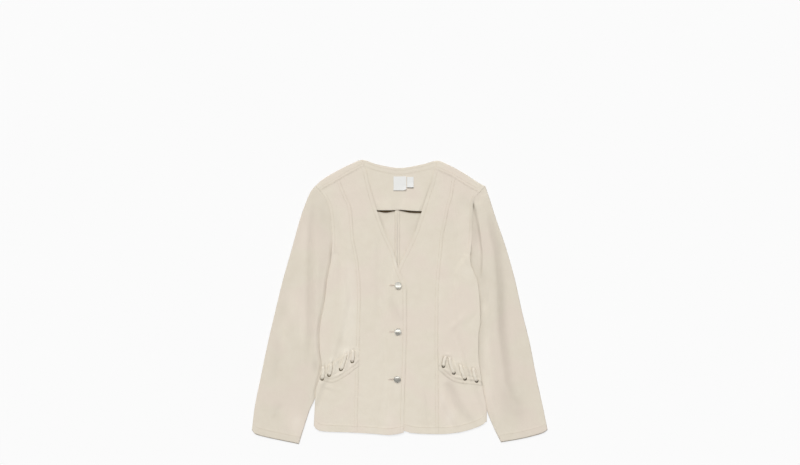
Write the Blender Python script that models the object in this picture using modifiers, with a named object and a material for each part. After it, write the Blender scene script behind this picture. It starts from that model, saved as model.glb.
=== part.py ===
"""Collarless denim jacket, buttoned, laid out flat on its back with the front side up.

X runs across the jacket (+X is the wearer's left), +Y runs towards the neck and +Z runs up through
the layers. The origin is at the middle of the footprint, on the surface that the jacket lies on.
"Out" is the distance from the centre line towards the side of the half in hand. Sizes are in
millimetres until the meshes are made, in metres.
"""
import math
from typing import NamedTuple

import bmesh
import bpy
import numpy as np

MM = 0.001

# Driving dimensions
WALL = 1.2  # denim
LACE = 1.0  # folded lacing strap
LABEL = 1.0
SEAM = 0.3  # between pieces that are sewn together
HALF_SEAM = 0.17
FRONT_TOP = 4.8  # upper face of the fronts, over the back
OVERLAP_RISE = 1.5  # right front over left front
SLEEVE_TOP = 5.4
SLEEVE_PRESSED = 3.6  # sleeve under the side of the body
SIDE_RAMP = 16.0  # width over which the back climbs on to the sleeve
SIDE_SHARE = 0.77  # how much of that climb the front follows
CREASE_DEPTH = 1.2
CREASE_REACH = 12.0
UNDERARM = 112.0
SHOULDER_POINT = 261.0
ARMHOLE_TOP = 272.0
BACK_SEAM = 6.0  # centre-back seam, towards the wearer's right
FOLD_GAP = 0.65  # clear height under the lip of a fold
SIDE_FOLD = 3.0  # radius of the fold down the side of the body
SLEEVE_FOLD = 3.6  # radius of the fold down the outside of a sleeve
TUCK_FOLD = 2.2  # radius of the sleeve's fold under the body
SHOULDER_FOLD = 3.0
PRESS_START = 8.0  # the sleeve starts to rise this far outside the body
PRESS_END = 24.0
LAP_MARGIN = 4.0  # the right front is up this far before the left front starts
LAP_RAMP = 14.0
CROSSING_FADE = 43.0  # above the underarm, over which the body stops lying on the sleeve
CREASE_UPPER = (235.0, 190.0)  # heights between which the sleeve crease fades in
CREASE_LOWER = (-250.0, -150.0)
BACK_HEM_LIFT = 1.5  # back hem inside the front hem
BACK_INSET = 1.8  # back inside the fold of the side
SHOULDER_SEAM_ENDS = (83.2, 186.6)
SHOULDER_FOLD_ENDS = (89.2, 196.8)
BAND_MARGIN = 0.6  # between a pocket band and the fold of the side

SETTLE_LOW = -300.0  # heights that a grid of points starts from
SETTLE_TALL = 560.0
SETTLE_PASSES = 24
FOLD_OUT = (0.0, 0.5, 0.866)  # columns round a fold, from the flat to the edge
FOLD_IN = (0.0, 0.134, 0.5)  # and from the edge to the flat
POCKET_SHARES = np.linspace(0.0, 1.0, 6)

BUTTON_RADIUS = 8.4
BUTTON_CAP = 4.4
BUTTON_RIM = 1.2
BUTTON_BEVEL = 0.7
BUTTON_NECK = 4.2
BUTTON_TURNS = 20
BUTTONHOLE_ROUND = 4.7
BUTTONHOLE_SLIT = 2.4
BUTTONHOLE_LENGTH = 20.0
BUTTONHOLE_DEEP = 8.0

EYELET_RING = 4.6
EYELET_WIRE = 1.1
EYELET_SQUASH = 0.6
LACE_WIDTH = 6.0
LACE_TIP = 4.4
LACE_CLEAR = 0.4


class Half(NamedTuple):
    """One half of the jacket, named for the wearer's side, and its column in the tables."""

    name: str
    sign: float
    column: int


class Upright(NamedTuple):
    """A row of a line that runs up the jacket: how far out it lies at a height."""

    height: float
    right: float
    left: float


class Level(NamedTuple):
    """A row of a line that runs across the jacket: its height at a distance out."""

    out: float
    right: float
    left: float


class Lacing(NamedTuple):
    """One strap: where it leaves the pocket mouth, and the eyelet that it goes into."""

    top_out: float
    top_height: float
    eyelet_out: float
    eyelet_height: float


class Button(NamedTuple):
    """A button's centre."""

    across: float
    height: float


class Label(NamedTuple):
    """A blank label on the facing: its lower and upper edge, and its two sides."""

    name: str
    low: float
    high: float
    start: float
    end: float


RIGHT = Half("right", -1.0, 1)
LEFT = Half("left", 1.0, 2)
HALVES = (RIGHT, LEFT)

FRONT_EDGE = (
    Upright(334, 90, 91),
    Upright(319, 83, 85),
    Upright(303, 77.7, 79.5),
    Upright(282, 73, 74),
    Upright(235, 60.5, 58.5),
    Upright(198, 47.5, 47),
    Upright(169, 37, 37.5),
    Upright(115, 13.5, 12.8),
    Upright(82, 4.5, -2.9),
    Upright(56, -6, -12),
    Upright(33, -15, -18.5),
    Upright(0, -15.4, -21),
    Upright(-54, -15.4, -21),
    Upright(-164, -13, -21),
    Upright(-254, -9.8, -21),
    Upright(-320, -8.8, -21),
)
PRINCESS_SEAM = (
    Upright(300, 148, 134),
    Upright(283, 140, 129),
    Upright(251, 126.3, 124.5),
    Upright(221, 114, 115.6),
    Upright(188, 110.6, 109.5),
    Upright(152, 108, 101.8),
    Upright(117, 101.2, 99),
    Upright(87, 96.5, 95.5),
    Upright(16, 91.8, 91),
    Upright(-94, 94.6, 90),
    Upright(-195, 97.2, 91),
    Upright(-320, 100, 92),
)
SIDE_LINE = (
    Upright(272, 197.5, 200),
    Upright(261, 187, 190.5),
    Upright(245, 175.5, 177),
    Upright(228, 167.5, 171.5),
    Upright(204, 162.3, 171),
    Upright(146, 158.5, 169),
    Upright(106, 161, 166.3),
    Upright(87, 163.2, 168),
    Upright(70, 167, 174.5),
    Upright(50, 170.8, 183),
    Upright(0, 176.5, 188.6),
    Upright(-47, 185.8, 190),
    Upright(-78, 189, 185.6),
    Upright(-113, 187.8, 185.2),
    Upright(-148, 183.5, 187.5),
    Upright(-172, 187.5, 191),
    Upright(-212, 197.5, 197.5),
    Upright(-254, 200, 204.6),
    Upright(-300, 202.5, 204),
)
SLEEVE_TUCK = (
    Upright(112, 0, 0),
    Upright(90, 17, 18),
    Upright(60, 33, 38),
    Upright(0, 46, 53),
    Upright(-60, 46, 44),
    Upright(-120, 30, 27),
    Upright(-181, 10.5, 15),
    Upright(-225, 0, 6),
    Upright(-254, -11.5, 0),
    Upright(-300, -24, -19),
    Upright(-334, -34.5, -36),
)
SLEEVE_OUTLINE = (
    Upright(270, 203.5, 202.5),
    Upright(258, 211, 206),
    Upright(240, 218, 212),
    Upright(202, 232, 224),
    Upright(127, 253, 249.7),
    Upright(52, 274.4, 270.8),
    Upright(-24, 293, 287.5),
    Upright(-99, 310.5, 306),
    Upright(-174, 326, 320.5),
    Upright(-249, 341, 336.8),
    Upright(-300, 347.3, 347.3),
)
SLEEVE_CREASE = (
    Upright(215, 200, 206),
    Upright(174, 206, 219),
    Upright(134, 209, 228.5),
    Upright(38, 210, 235.6),
    Upright(-73, 209, 240.3),
    Upright(-139, 212, 248.5),
    Upright(-188, 220, 253.5),
    Upright(-244, 236, 280),
)
HEM_LINE = (
    Level(-21, -304, -302),
    Level(-9, -306.5, -302.5),
    Level(10, -310.5, -303),
    Level(26, -312, -307),
    Level(60, -309.5, -309.5),
    Level(97, -307, -310),
    Level(135, -305.5, -306.5),
    Level(165, -304.5, -299.6),
    Level(186, -302.5, -292),
    Level(197, -297, -286),
    Level(202, -290, -281),
)
SLEEVE_CAP = (
    Level(200, ARMHOLE_TOP, ARMHOLE_TOP),
    Level(206, 270, 270),
)
CUFF_LINE = (
    Level(236, -334, -330),
    Level(280, -325, -322.5),
    Level(324, -315.3, -312),
    Level(340, -310, -306),
    Level(347.3, -301, -300),
)
SHOULDER_SEAM = (
    Level(83, 319, 311.5),
    Level(118, 301, 296),
    Level(140, 288, 283),
    Level(165, 273.5, 268),
    Level(187, 261, 255.5),
)
BACK_TOP = (
    Level(-8, 315, 315),
    Level(0, 315, 315),
    Level(53.5, 323.5, 323.5),
    Level(89, 334, 332),
    Level(112, 325.5, 323.5),
    Level(152, 305.5, 302),
    Level(184, 286, 281),
    Level(198, 273, 273),
)
POCKET_MOUTH = (
    Level(92, -112, -125),
    Level(112, -115, -130),
    Level(128, -124, -139),
    Level(145, -135, -150),
    Level(160, -145, -155),
    Level(175, -151, -157),
    Level(192, -156, -158.5),
)
POCKET_LINE = (
    Level(92, -148, -159),
    Level(112, -163, -177),
    Level(128, -174.5, -186.5),
    Level(145, -184.5, -190.5),
    Level(160, -189, -192),
    Level(175, -186, -193.5),
    Level(192, -180, -196),
)
POCKET_LAP = 10.0  # band over the lower side front

FACING_LOW = 217.0
FACING_TACK = -7.0
FACING_LIFT = 1.6
FACING_UNDER = 10.0  # under the fronts
FACING_WIDEST = 86.0
FACING_LIFT_RIGHT = 46.0  # reach of the lift on each side of the tack
FACING_LIFT_LEFT = 60.0
FACING_LIFT_TALL = 30.0

LACINGS = {
    RIGHT: (
        Lacing(111.5, -110, 111.7, -141),
        Lacing(126.3, -118, 138.5, -160),
        Lacing(161.6, -141, 166, -172.5),
        Lacing(180, -148, 182, -180),
    ),
    LEFT: (
        Lacing(109.5, -125, 102.5, -151),
        Lacing(116.5, -127, 127, -168),
        Lacing(142, -144, 153.5, -180),
        Lacing(172, -152, 180.5, -186),
    ),
}
BUTTONS = (Button(-3.6, 39.2), Button(-4.3, -70.0), Button(-5.8, -181.7))
LABELS = (
    Label("main_label", 262.0, 295.0, -14.7, 15.4),
    Label("size_label", 269.0, 294.0, 17.0, 32.6),
)


def clear_scene():
    """Remove every object."""
    for item in list(bpy.data.objects):
        bpy.data.objects.remove(item, do_unlink=True)


def make_material(name, colour, roughness, metallic=0.0):
    """Make a Principled BSDF material."""
    material = bpy.data.materials.new(name)
    material.use_nodes = True
    shader = material.node_tree.nodes["Principled BSDF"]
    shader.inputs["Base Color"].default_value = (*colour, 1.0)
    shader.inputs["Roughness"].default_value = roughness
    shader.inputs["Metallic"].default_value = metallic
    return material


def make_collection(name):
    """Make a collection in the scene."""
    collection = bpy.data.collections.new(name)
    bpy.context.scene.collection.children.link(collection)
    return collection


def follow(rows, column, at):
    """Read a table's column at any place, on a smooth curve through its rows that never overshoots."""
    table = np.array(sorted(rows), dtype=float)
    places = table[:, 0]
    values = table[:, column]
    at = np.clip(at, places[0], places[-1])
    steps = np.diff(values) / np.diff(places)
    before = steps[:-1]
    after = steps[1:]
    total = np.where(before * after > 0, before + after, 1.0)
    bends = np.where(before * after > 0, 2 * before * after / total, 0.0)
    slopes = np.concatenate((steps[:1], bends, steps[-1:]))
    index = np.clip(np.searchsorted(places, at, side="right") - 1, 0, len(places) - 2)
    span = places[index + 1] - places[index]
    share = (at - places[index]) / span
    rise = values[index + 1] - values[index]
    ease = share * share * (3 - 2 * share)
    start = slopes[index] * span * share * (1 - share) ** 2
    end = slopes[index + 1] * span * share ** 2 * (share - 1)
    return values[index] + rise * ease + start + end


def smoothstep(low, high, value):
    """Rise smoothly from 0 at low to 1 at high."""
    share = np.clip((value - low) / (high - low), 0.0, 1.0)
    return share * share * (3 - 2 * share)


def upright(rows, half, shift=0.0):
    """Return a line that runs up the jacket, as a function of height."""
    return lambda height: follow(rows, half.column, height) + shift


def level(rows, half, shift=0.0):
    """Return a line that runs across the jacket, as a function of the distance out."""
    return lambda out: follow(rows, half.column, out) + shift


def sleeve_inner(half, height):
    """Inner edge of the sleeve: the armhole, and below it the fold tucked under the body."""
    return follow(SIDE_LINE, half.column, height) - follow(SLEEVE_TUCK, half.column, height)


def crossing(height):
    """1 where the body lies over the sleeve, 0 at the armhole well above the underarm."""
    return 1.0 - smoothstep(UNDERARM, UNDERARM + CROSSING_FADE, height)


def body_lift(half, out, height):
    """How far the back is lifted off the surface by the sleeve that lies under it."""
    inner = sleeve_inner(half, height)
    ramp = smoothstep(inner - SIDE_RAMP, inner - 2 * SEAM, out)
    return (SLEEVE_PRESSED + SEAM) * ramp * crossing(height)


def front_top(half, out, height):
    """Upper face of the fronts. The right one climbs over the left one at the centre."""
    top = FRONT_TOP + SIDE_SHARE * body_lift(half, out, height)
    if half is RIGHT:
        edge = LAP_MARGIN - follow(FRONT_EDGE, LEFT.column, height)
        top = top + OVERLAP_RISE * (1.0 - smoothstep(edge, edge + LAP_RAMP, out))
    return top


def sleeve_top(half, out, height):
    """Upper face of the sleeve: pressed flat beside the body, with one long soft crease."""
    outside = out - follow(SIDE_LINE, half.column, height)
    pressed = SLEEVE_PRESSED + (FRONT_TOP - SLEEVE_PRESSED) * (1.0 - crossing(height))
    top = pressed + (SLEEVE_TOP - pressed) * smoothstep(PRESS_START, PRESS_END, outside)
    ends = smoothstep(*CREASE_UPPER, height) * smoothstep(*CREASE_LOWER, height)
    away = np.abs(out - follow(SLEEVE_CREASE, half.column, height)) / CREASE_REACH
    clear = smoothstep(PRESS_START, 12.0, outside)
    return top - CREASE_DEPTH * ends * clear * np.clip(1.0 - away, 0.0, 1.0)


def folded(top, drop, past, radius):
    """Lower an upper face round a fold, by how far past the start of the fold each point lies."""
    turn = np.clip(past / radius, 0.0, 1.0)
    return top - drop * (1.0 - np.sqrt(1.0 - turn ** 2))


def facing_top(across, height):
    """Upper face of the neck facing, whose lower edge lifts on both sides of its tack."""
    reach = np.where(across > FACING_TACK, FACING_LIFT_LEFT, FACING_LIFT_RIGHT)
    share = np.clip(np.abs(across - FACING_TACK) / reach, 0.0, 1.0)
    lift = FACING_LIFT * np.sin(math.pi * share) ** 2
    return 2 * WALL + SEAM + lift * smoothstep(FACING_LOW + FACING_LIFT_TALL, FACING_LOW, height)


def side_marks(half, height, inner, outer):
    """Mark where the climb on to the sleeve starts and ends, between a panel's two edges."""
    end = np.minimum(sleeve_inner(half, height) - 2 * SEAM, outer - 3.0)
    start = end - SIDE_RAMP + 2 * SEAM
    return [inner, np.maximum(start, inner + 4.0), np.maximum(end, inner + 8.0), outer]


def even(count):
    """Shares of evenly spaced columns."""
    return tuple(step / count for step in range(count))


def spaced(marks, shares):
    """Spread the columns of a grid between marks, each mark a grid of distances out."""
    columns = []
    for start, end, steps in zip(marks, marks[1:], shares):
        for step in steps:
            place = len(columns)
            columns.append(start[:, place] + (end - start)[:, place] * step)
    columns.append(marks[-1][:, len(columns)])
    return np.stack(columns, axis=1)


def settle(low, high, rows, marks, columns):
    """Place a grid of points, each on its column's line and at its share from low line to high line."""
    wide = sum(len(steps) for steps in columns) + 1
    share = np.repeat(np.array(rows)[:, None], wide, axis=1)
    height = SETTLE_LOW + SETTLE_TALL * share
    for _ in range(SETTLE_PASSES):
        out = spaced(marks(height), columns)
        height = low(out) + (high(out) - low(out)) * share
    return out, height


def shares_at(levels, edge, low, high):
    """Turn heights along an edge into shares of the way from the low line to the high line."""
    out = edge(levels)
    return (levels - low(out)) / (high(out) - low(out))


def add_panel(name, grid, half, material, collection, thickness=WALL):
    """Make a wall of even thickness under a grid of points on its upper face."""
    out, height, top = grid
    tall, wide = out.shape
    bm = bmesh.new()
    points = np.stack((half.sign * out, height, top), axis=2).reshape(-1, 3) * MM
    verts = [bm.verts.new(point) for point in points]
    for row in range(tall - 1):
        for column in range(wide - 1):
            corner = row * wide + column
            face = [corner, corner + 1, corner + wide + 1, corner + wide]
            if half.sign < 0:
                face.reverse()
            bm.faces.new([verts[index] for index in face])
    mesh = bpy.data.meshes.new(name)
    bm.to_mesh(mesh)
    bm.free()
    mesh.materials.append(material)
    panel = bpy.data.objects.new(name, mesh)
    collection.objects.link(panel)
    wall = panel.modifiers.new("wall", "SOLIDIFY")
    wall.thickness = thickness * MM
    wall.offset = -1.0
    wall.use_even_offset = True
    return panel


def armhole_levels():
    """Heights of the rows beside the armhole, shared by the sleeve and the body."""
    return np.linspace(UNDERARM, SHOULDER_POINT, 6)


def pocket_seam(half, shift=0.0):
    """Seam under the band, between the side front and the lower side front."""
    return level(POCKET_LINE, half, POCKET_LAP + shift)


def side_shares(half):
    """Rows of the side front, as shares of the way from the pocket seam to the shoulder seam."""
    edge = upright(SIDE_LINE, half)
    low = pocket_seam(half)
    high = level(SHOULDER_SEAM, half)
    start = low(edge(-175.0))
    below = np.linspace(start, UNDERARM, 9)[:-1]
    above = armhole_levels()
    above[-1] = high(190.0)
    shares = shares_at(np.concatenate((below, above)), edge, low, high)
    shares[0] = 0.0
    shares[-1] = 1.0
    return shares


def side_grid(half, low, high, rows):
    """Grid of a side panel, from the princess seam round the fold at the side."""
    inner = upright(PRINCESS_SEAM, half, HALF_SEAM)
    outer = upright(SIDE_LINE, half, -HALF_SEAM)

    def marks(height):
        edge = outer(height)
        flat = side_marks(half, height, inner(height), edge - SIDE_FOLD)
        return [*flat, edge]

    out, height = settle(low, high, rows, marks, (even(5), even(3), even(1), FOLD_OUT))
    edge = outer(height)
    start = edge - SIDE_FOLD
    top = front_top(half, np.minimum(out, start), height)
    drop = front_top(half, start, height) - WALL - body_lift(half, edge, height) - FOLD_GAP
    return out, height, folded(top, drop * (height < UNDERARM - 1.0), out - start, SIDE_FOLD)


def add_side_front(half, material, collection):
    """Side front, from the pocket seam up to the shoulder seam."""
    low = pocket_seam(half, HALF_SEAM)
    high = level(SHOULDER_SEAM, half, -HALF_SEAM)
    grid = side_grid(half, low, high, side_shares(half))
    add_panel(f"front_side_{half.name}", grid, half, material, collection)


def add_pocket_front(half, material, collection):
    """Lower side front, from the hem up to the pocket seam."""
    low = level(HEM_LINE, half)
    high = pocket_seam(half, -HALF_SEAM)
    grid = side_grid(half, low, high, POCKET_SHARES)
    add_panel(f"pocket_front_{half.name}", grid, half, material, collection)


def centre_shares(half):
    """Rows of the centre front, level with those of the side panels along the princess seam."""
    edge = upright(PRINCESS_SEAM, half)
    hem = level(HEM_LINE, half)
    seam = pocket_seam(half)
    shoulder = level(SHOULDER_SEAM, half)
    lower = settle_edge(edge, hem, seam, POCKET_SHARES)
    upper = settle_edge(edge, seam, shoulder, side_shares(half))
    shares = shares_at(np.concatenate((lower, upper[1:])), edge, hem, shoulder)
    shares[0] = 0.0
    shares[-1] = 1.0
    return shares


def settle_edge(edge, low, high, shares):
    """Heights along one edge at shares of the way from the low line to the high line."""
    height = SETTLE_LOW + SETTLE_TALL * shares
    for _ in range(SETTLE_PASSES):
        out = edge(height)
        height = low(out) + (high(out) - low(out)) * shares
    return height


def add_centre_front(half, material, collection):
    """Centre front, from the V neck and button edge to the princess seam."""
    inner = upright(FRONT_EDGE, half)
    outer = upright(PRINCESS_SEAM, half, -HALF_SEAM)
    low = level(HEM_LINE, half)
    high = level(SHOULDER_SEAM, half, -HALF_SEAM)

    def marks(height):
        start = inner(height)
        wide = outer(height) - start
        if half is LEFT:
            return [start, outer(height)]
        flat = LAP_MARGIN - follow(FRONT_EDGE, LEFT.column, height)
        first = np.maximum(flat, start + 0.12 * wide)
        second = np.maximum(first + LAP_RAMP, start + 0.3 * wide)
        return [start, first, second, outer(height)]

    columns = (even(2), even(2), even(4)) if half is RIGHT else (even(6),)
    out, height = settle(low, high, centre_shares(half), marks, columns)
    top = front_top(half, out, height)
    return add_panel(f"front_centre_{half.name}", (out, height, top), half, material, collection)


def add_back(half, material, collection):
    """Back panel, from the centre-back seam to the side, lifted over the tucked sleeve."""
    seam = -half.sign * BACK_SEAM + HALF_SEAM
    low = level(HEM_LINE, half, BACK_HEM_LIFT)
    high = level(BACK_TOP, half)
    side = upright(SIDE_LINE, half)

    def marks(height):
        inset = np.where(height < UNDERARM - 1.0, BACK_INSET, HALF_SEAM)
        return side_marks(half, height, seam + 0.0 * height, side(height) - inset)

    levels = np.concatenate((np.linspace(-287.0, UNDERARM, 11), armhole_levels()[1:]))
    shares = np.append(shares_at(levels, side, low, high), 1.0)
    shares[0] = 0.0
    out, height = settle(low, high, shares, marks, (even(5), even(3), even(2)))
    top = WALL + body_lift(half, out, height)
    add_panel(f"back_{half.name}", (out, height, top), half, material, collection)


def sleeve_shares(half, inner, low, high):
    """Rows of a sleeve, level with those of the body along the armhole."""
    below = np.linspace(-328.0, UNDERARM, 12)[:-1]
    levels = np.concatenate((below, armhole_levels()))
    shares = np.append(shares_at(levels, inner, low, high), 1.0)
    shares[0] = 0.0
    return shares


def armhole_gap(height):
    """Half of a seam beside the armhole, nothing below it."""
    return np.where(height > UNDERARM - 1.0, HALF_SEAM, 0.0)


def add_sleeve(half, material, collection):
    """Upper and under layer of a sleeve, a flattened tube folded along both sides."""
    low = level(CUFF_LINE, half)
    high = level(SLEEVE_CAP, half)
    outline = upright(SLEEVE_OUTLINE, half)
    rows = sleeve_shares(half, lambda height: sleeve_inner(half, height), low, high)

    def edges(height):
        return sleeve_inner(half, height) + armhole_gap(height), outline(height)

    def marks(height):
        inner, outer = edges(height)
        start = inner + TUCK_FOLD
        end = outer - np.minimum(SLEEVE_FOLD, 0.4 * (outer - inner))
        wide = end - start
        side = follow(SIDE_LINE, half.column, height) + PRESS_START
        side = np.clip(side, start + 0.15 * wide, start + 0.6 * wide)
        crease = follow(SLEEVE_CREASE, half.column, height)
        crease = np.clip(crease, side + 0.12 * wide, start + 0.8 * wide)
        return [inner, start, side, crease, end, outer]

    columns = (FOLD_IN, even(2), even(2), even(4), FOLD_OUT)
    out, height = settle(low, high, rows, marks, columns)
    inner, start, _, _, end, outer = marks(height)
    top = sleeve_top(half, np.clip(out, start, end), height)
    outer_drop = sleeve_top(half, end, height) - WALL - FOLD_GAP
    inner_drop = (sleeve_top(half, start, height) - WALL - FOLD_GAP) * (height < UNDERARM - 1.0)
    top = folded(top, outer_drop, out - end, outer - end)
    top = folded(top, inner_drop, start - out, start - inner)
    add_panel(f"sleeve_top_{half.name}", (out, height, top), half, material, collection)

    out, height = settle(low, high, rows, lambda place: list(edges(place)), (even(5),))
    flat = np.full_like(out, WALL)
    add_panel(f"sleeve_under_{half.name}", (out, height, flat), half, material, collection)


def add_shoulder(half, material, collection):
    """Forward shoulder of the back, from the seam on the front over the fold along the top."""
    seam = level(SHOULDER_SEAM, half, HALF_SEAM)
    fold = level(BACK_TOP, half)
    stations = np.linspace(0.0, 1.0, 9)
    seam_out = np.interp(stations, (0.0, 1.0), SHOULDER_SEAM_ENDS)
    fold_out = np.interp(stations, (0.0, 1.0), SHOULDER_FOLD_ENDS)
    start = np.stack((seam_out, seam(seam_out)), axis=1)
    way = np.stack((fold_out, fold(fold_out)), axis=1) - start
    length = np.linalg.norm(way, axis=1)
    flat = 1.0 - SHOULDER_FOLD / length
    shares = [0.0 * flat, 0.5 * flat] + [flat + (1.0 - flat) * step for step in (*FOLD_OUT, 1.0)]
    points = [start + way * share[:, None] for share in shares]
    past = [(share - flat) * length for share in shares]
    drop = FRONT_TOP - WALL - FOLD_GAP
    out = np.stack([point[:, 0] for point in points])
    height = np.stack([point[:, 1] for point in points])
    top = folded(FRONT_TOP, drop, np.stack(past), SHOULDER_FOLD)
    add_panel(f"shoulder_{half.name}", (out, height, top), half, material, collection)


def add_band(half, material, collection):
    """Curved pocket band, from its sewn lower edge up to the pocket mouth, on the side panels."""
    inner = upright(PRINCESS_SEAM, half, 1.5)
    outer = upright(SIDE_LINE, half, -SIDE_FOLD - BAND_MARGIN)
    low = level(POCKET_LINE, half)
    high = level(POCKET_MOUTH, half)

    def marks(height):
        return side_marks(half, height, inner(height), outer(height))

    out, height = settle(low, high, np.linspace(0.0, 1.0, 4), marks, (even(6), even(3), even(2)))
    top = band_top(half, out, height)
    add_panel(f"pocket_band_{half.name}", (out, height, top), half, material, collection)


def band_top(half, out, height):
    """Upper face of the pocket band, one wall and a seam over the side panels."""
    return front_top(half, out, height) + 2 * SEAM + WALL


def add_facing(material, collection):
    """Back neck facing, on the back, reaching under both fronts."""
    columns = np.linspace(-1.0, 1.0, 17)
    rows = np.linspace(0.0, 1.0, 6)
    share, place = np.meshgrid(rows, columns, indexing="ij")
    height = FACING_LOW + (315.0 - FACING_LOW) * share
    for _ in range(SETTLE_PASSES):
        right = np.minimum(follow(FRONT_EDGE, RIGHT.column, height) + FACING_UNDER, FACING_WIDEST)
        left = np.minimum(follow(FRONT_EDGE, LEFT.column, height) + FACING_UNDER, FACING_WIDEST)
        across = np.where(place < 0.0, place * right, place * left)
        neck = np.where(
            across < 0.0,
            follow(BACK_TOP, RIGHT.column, -across),
            follow(BACK_TOP, LEFT.column, across),
        )
        height = FACING_LOW + (neck - WALL - FACING_LOW) * share
    grid = (across, height, facing_top(across, height))
    add_panel("back_neck_facing", grid, LEFT, material, collection)


def add_label(label, material, collection):
    """Blank label on the facing."""
    columns = np.linspace(label.start, label.end, 3)
    across, height = np.meshgrid(columns, np.linspace(label.low, label.high, 3))
    top = facing_top(across, height) + 2 * SEAM + LABEL
    add_panel(label.name, (across, height, top), LEFT, material, collection, LABEL)


def add_mesh_object(name, mesh, material, collection):
    """Link a mesh as a named object."""
    item = bpy.data.objects.new(name, mesh)
    mesh.materials.append(material)
    collection.objects.link(item)
    return item


def button_profile():
    """Half outline of a button, from the top of its dome down to the foot of its neck."""
    dome = [math.radians(angle) for angle in (90, 72, 54, 36, 18, 0)]
    rise = BUTTON_CAP - BUTTON_RIM
    points = [(BUTTON_RADIUS * math.cos(turn), BUTTON_RIM + rise * math.sin(turn)) for turn in dome]
    points[0] = (0.0, BUTTON_CAP)
    foot = -OVERLAP_RISE - SEAM
    edge = BUTTON_RADIUS - BUTTON_BEVEL
    return [*points, (edge, 0.0), (BUTTON_NECK, 0.0), (BUTTON_NECK, foot), (0.0, foot)]


def add_button(number, button, material, collection):
    """Domed button, its neck through the buttonhole down on to the left front."""
    bm = bmesh.new()
    base = FRONT_TOP + OVERLAP_RISE + 2 * SEAM
    verts = [bm.verts.new((radius * MM, 0.0, rise * MM)) for radius, rise in button_profile()]
    for upper, lower in zip(verts, verts[1:]):
        bm.edges.new((upper, lower))
    mesh = bpy.data.meshes.new(f"button_{number}")
    bm.to_mesh(mesh)
    bm.free()
    item = add_mesh_object(f"button_{number}", mesh, material, collection)
    item.location = (button.across * MM, button.height * MM, base * MM)
    screw = item.modifiers.new("turn", "SCREW")
    screw.steps = BUTTON_TURNS
    screw.render_steps = BUTTON_TURNS
    screw.use_merge_vertices = True
    screw.merge_threshold = 0.00001


def round_cutter(bm):
    """Add a round cutter about the origin, for the button end of a buttonhole."""
    return bmesh.ops.create_cone(
        bm,
        cap_ends=True,
        segments=20,
        radius1=BUTTONHOLE_ROUND * MM,
        radius2=BUTTONHOLE_ROUND * MM,
        depth=BUTTONHOLE_DEEP * MM,
    )["verts"]


def slit_cutter(bm):
    """Add a narrow box about the origin, for the slit of a buttonhole."""
    verts = bmesh.ops.create_cube(bm, size=1.0)["verts"]
    size = (BUTTONHOLE_LENGTH * MM, BUTTONHOLE_SLIT * MM, BUTTONHOLE_DEEP * MM)
    bmesh.ops.scale(bm, vec=size, verts=verts)
    return verts


def cut_buttonholes(front, name, make_cutter, shift, material, cutters):
    """Cut one shape at every button, through the right front."""
    bm = bmesh.new()
    for button in BUTTONS:
        verts = make_cutter(bm)
        place = ((button.across + shift) * MM, button.height * MM, (FRONT_TOP + 1.0) * MM)
        bmesh.ops.translate(bm, vec=place, verts=verts)
    mesh = bpy.data.meshes.new(name)
    bm.to_mesh(mesh)
    bm.free()
    cutter = add_mesh_object(name, mesh, material, cutters)
    cutter.hide_render = True
    cutter.display_type = "WIRE"
    hole = front.modifiers.new(name, "BOOLEAN")
    hole.operation = "DIFFERENCE"
    hole.solver = "EXACT"
    hole.object = cutter


def eyelet_seat(half, lacing):
    """Upper face of the band at an eyelet, at its highest under the ring."""
    turns = np.linspace(0.0, 2 * math.pi, 13)
    reach = EYELET_RING + EYELET_WIRE
    out = lacing.eyelet_out + reach * np.cos(turns)
    height = lacing.eyelet_height + reach * np.sin(turns)
    return float(np.max(band_top(half, out, height)))


def add_eyelet(half, number, lacing, material, collection):
    """Flattened metal ring on the band."""
    seat = eyelet_seat(half, lacing) + SEAM + EYELET_WIRE * EYELET_SQUASH
    place = (half.sign * lacing.eyelet_out * MM, lacing.eyelet_height * MM, seat * MM)
    bpy.ops.mesh.primitive_torus_add(
        major_radius=EYELET_RING * MM,
        minor_radius=EYELET_WIRE * MM,
        major_segments=14,
        minor_segments=5,
    )
    ring = bpy.context.object
    ring.name = f"eyelet_{half.name}_{number}"
    ring.data.transform(((1, 0, 0, 0), (0, 1, 0, 0), (0, 0, EYELET_SQUASH, 0), (0, 0, 0, 1)))
    ring.location = place
    ring.data.materials.append(material)
    for holder in list(ring.users_collection):
        holder.objects.unlink(ring)
    collection.objects.link(ring)


def add_lace(half, number, lacing, material, collection):
    """Flat strap from beyond the pocket mouth, over the band and the ring, into the eyelet."""
    end = np.array((lacing.eyelet_out, lacing.eyelet_height))
    way = np.array((lacing.top_out, lacing.top_height)) - end
    length = float(np.linalg.norm(way))
    along = way / length
    side = np.array((along[1], -along[0]))
    ring = EYELET_RING + EYELET_WIRE
    hole = EYELET_RING - EYELET_WIRE
    inside = (0.5, hole - 0.8, hole + 0.2, ring + LACE_CLEAR)
    stations = np.array((*inside, 0.5 * length, length - 9.0, length - 3.5, length))
    centre = end + along * stations[:, None]
    over = eyelet_seat(half, lacing) + SEAM + 2 * EYELET_WIRE * EYELET_SQUASH + LACE_CLEAR
    on_band = band_top(half, centre[4:, 0], centre[4:, 1]) + (1.3, 0.9, 0.6, 0.45 - WALL)
    under = np.concatenate(((over - 1.0, over - 0.1, over, over), on_band))
    wide = np.where(stations < hole + 1.0, LACE_TIP, LACE_WIDTH) / 2
    left = centre - side * wide[:, None]
    right = centre + side * wide[:, None]
    out = np.stack((left[:, 0], right[:, 0]), axis=1)
    height = np.stack((left[:, 1], right[:, 1]), axis=1)
    top = np.stack((under + LACE, under + LACE), axis=1)
    name = f"lace_{half.name}_{number}"
    add_panel(name, (out, height, top), half, material, collection, LACE)


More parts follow.
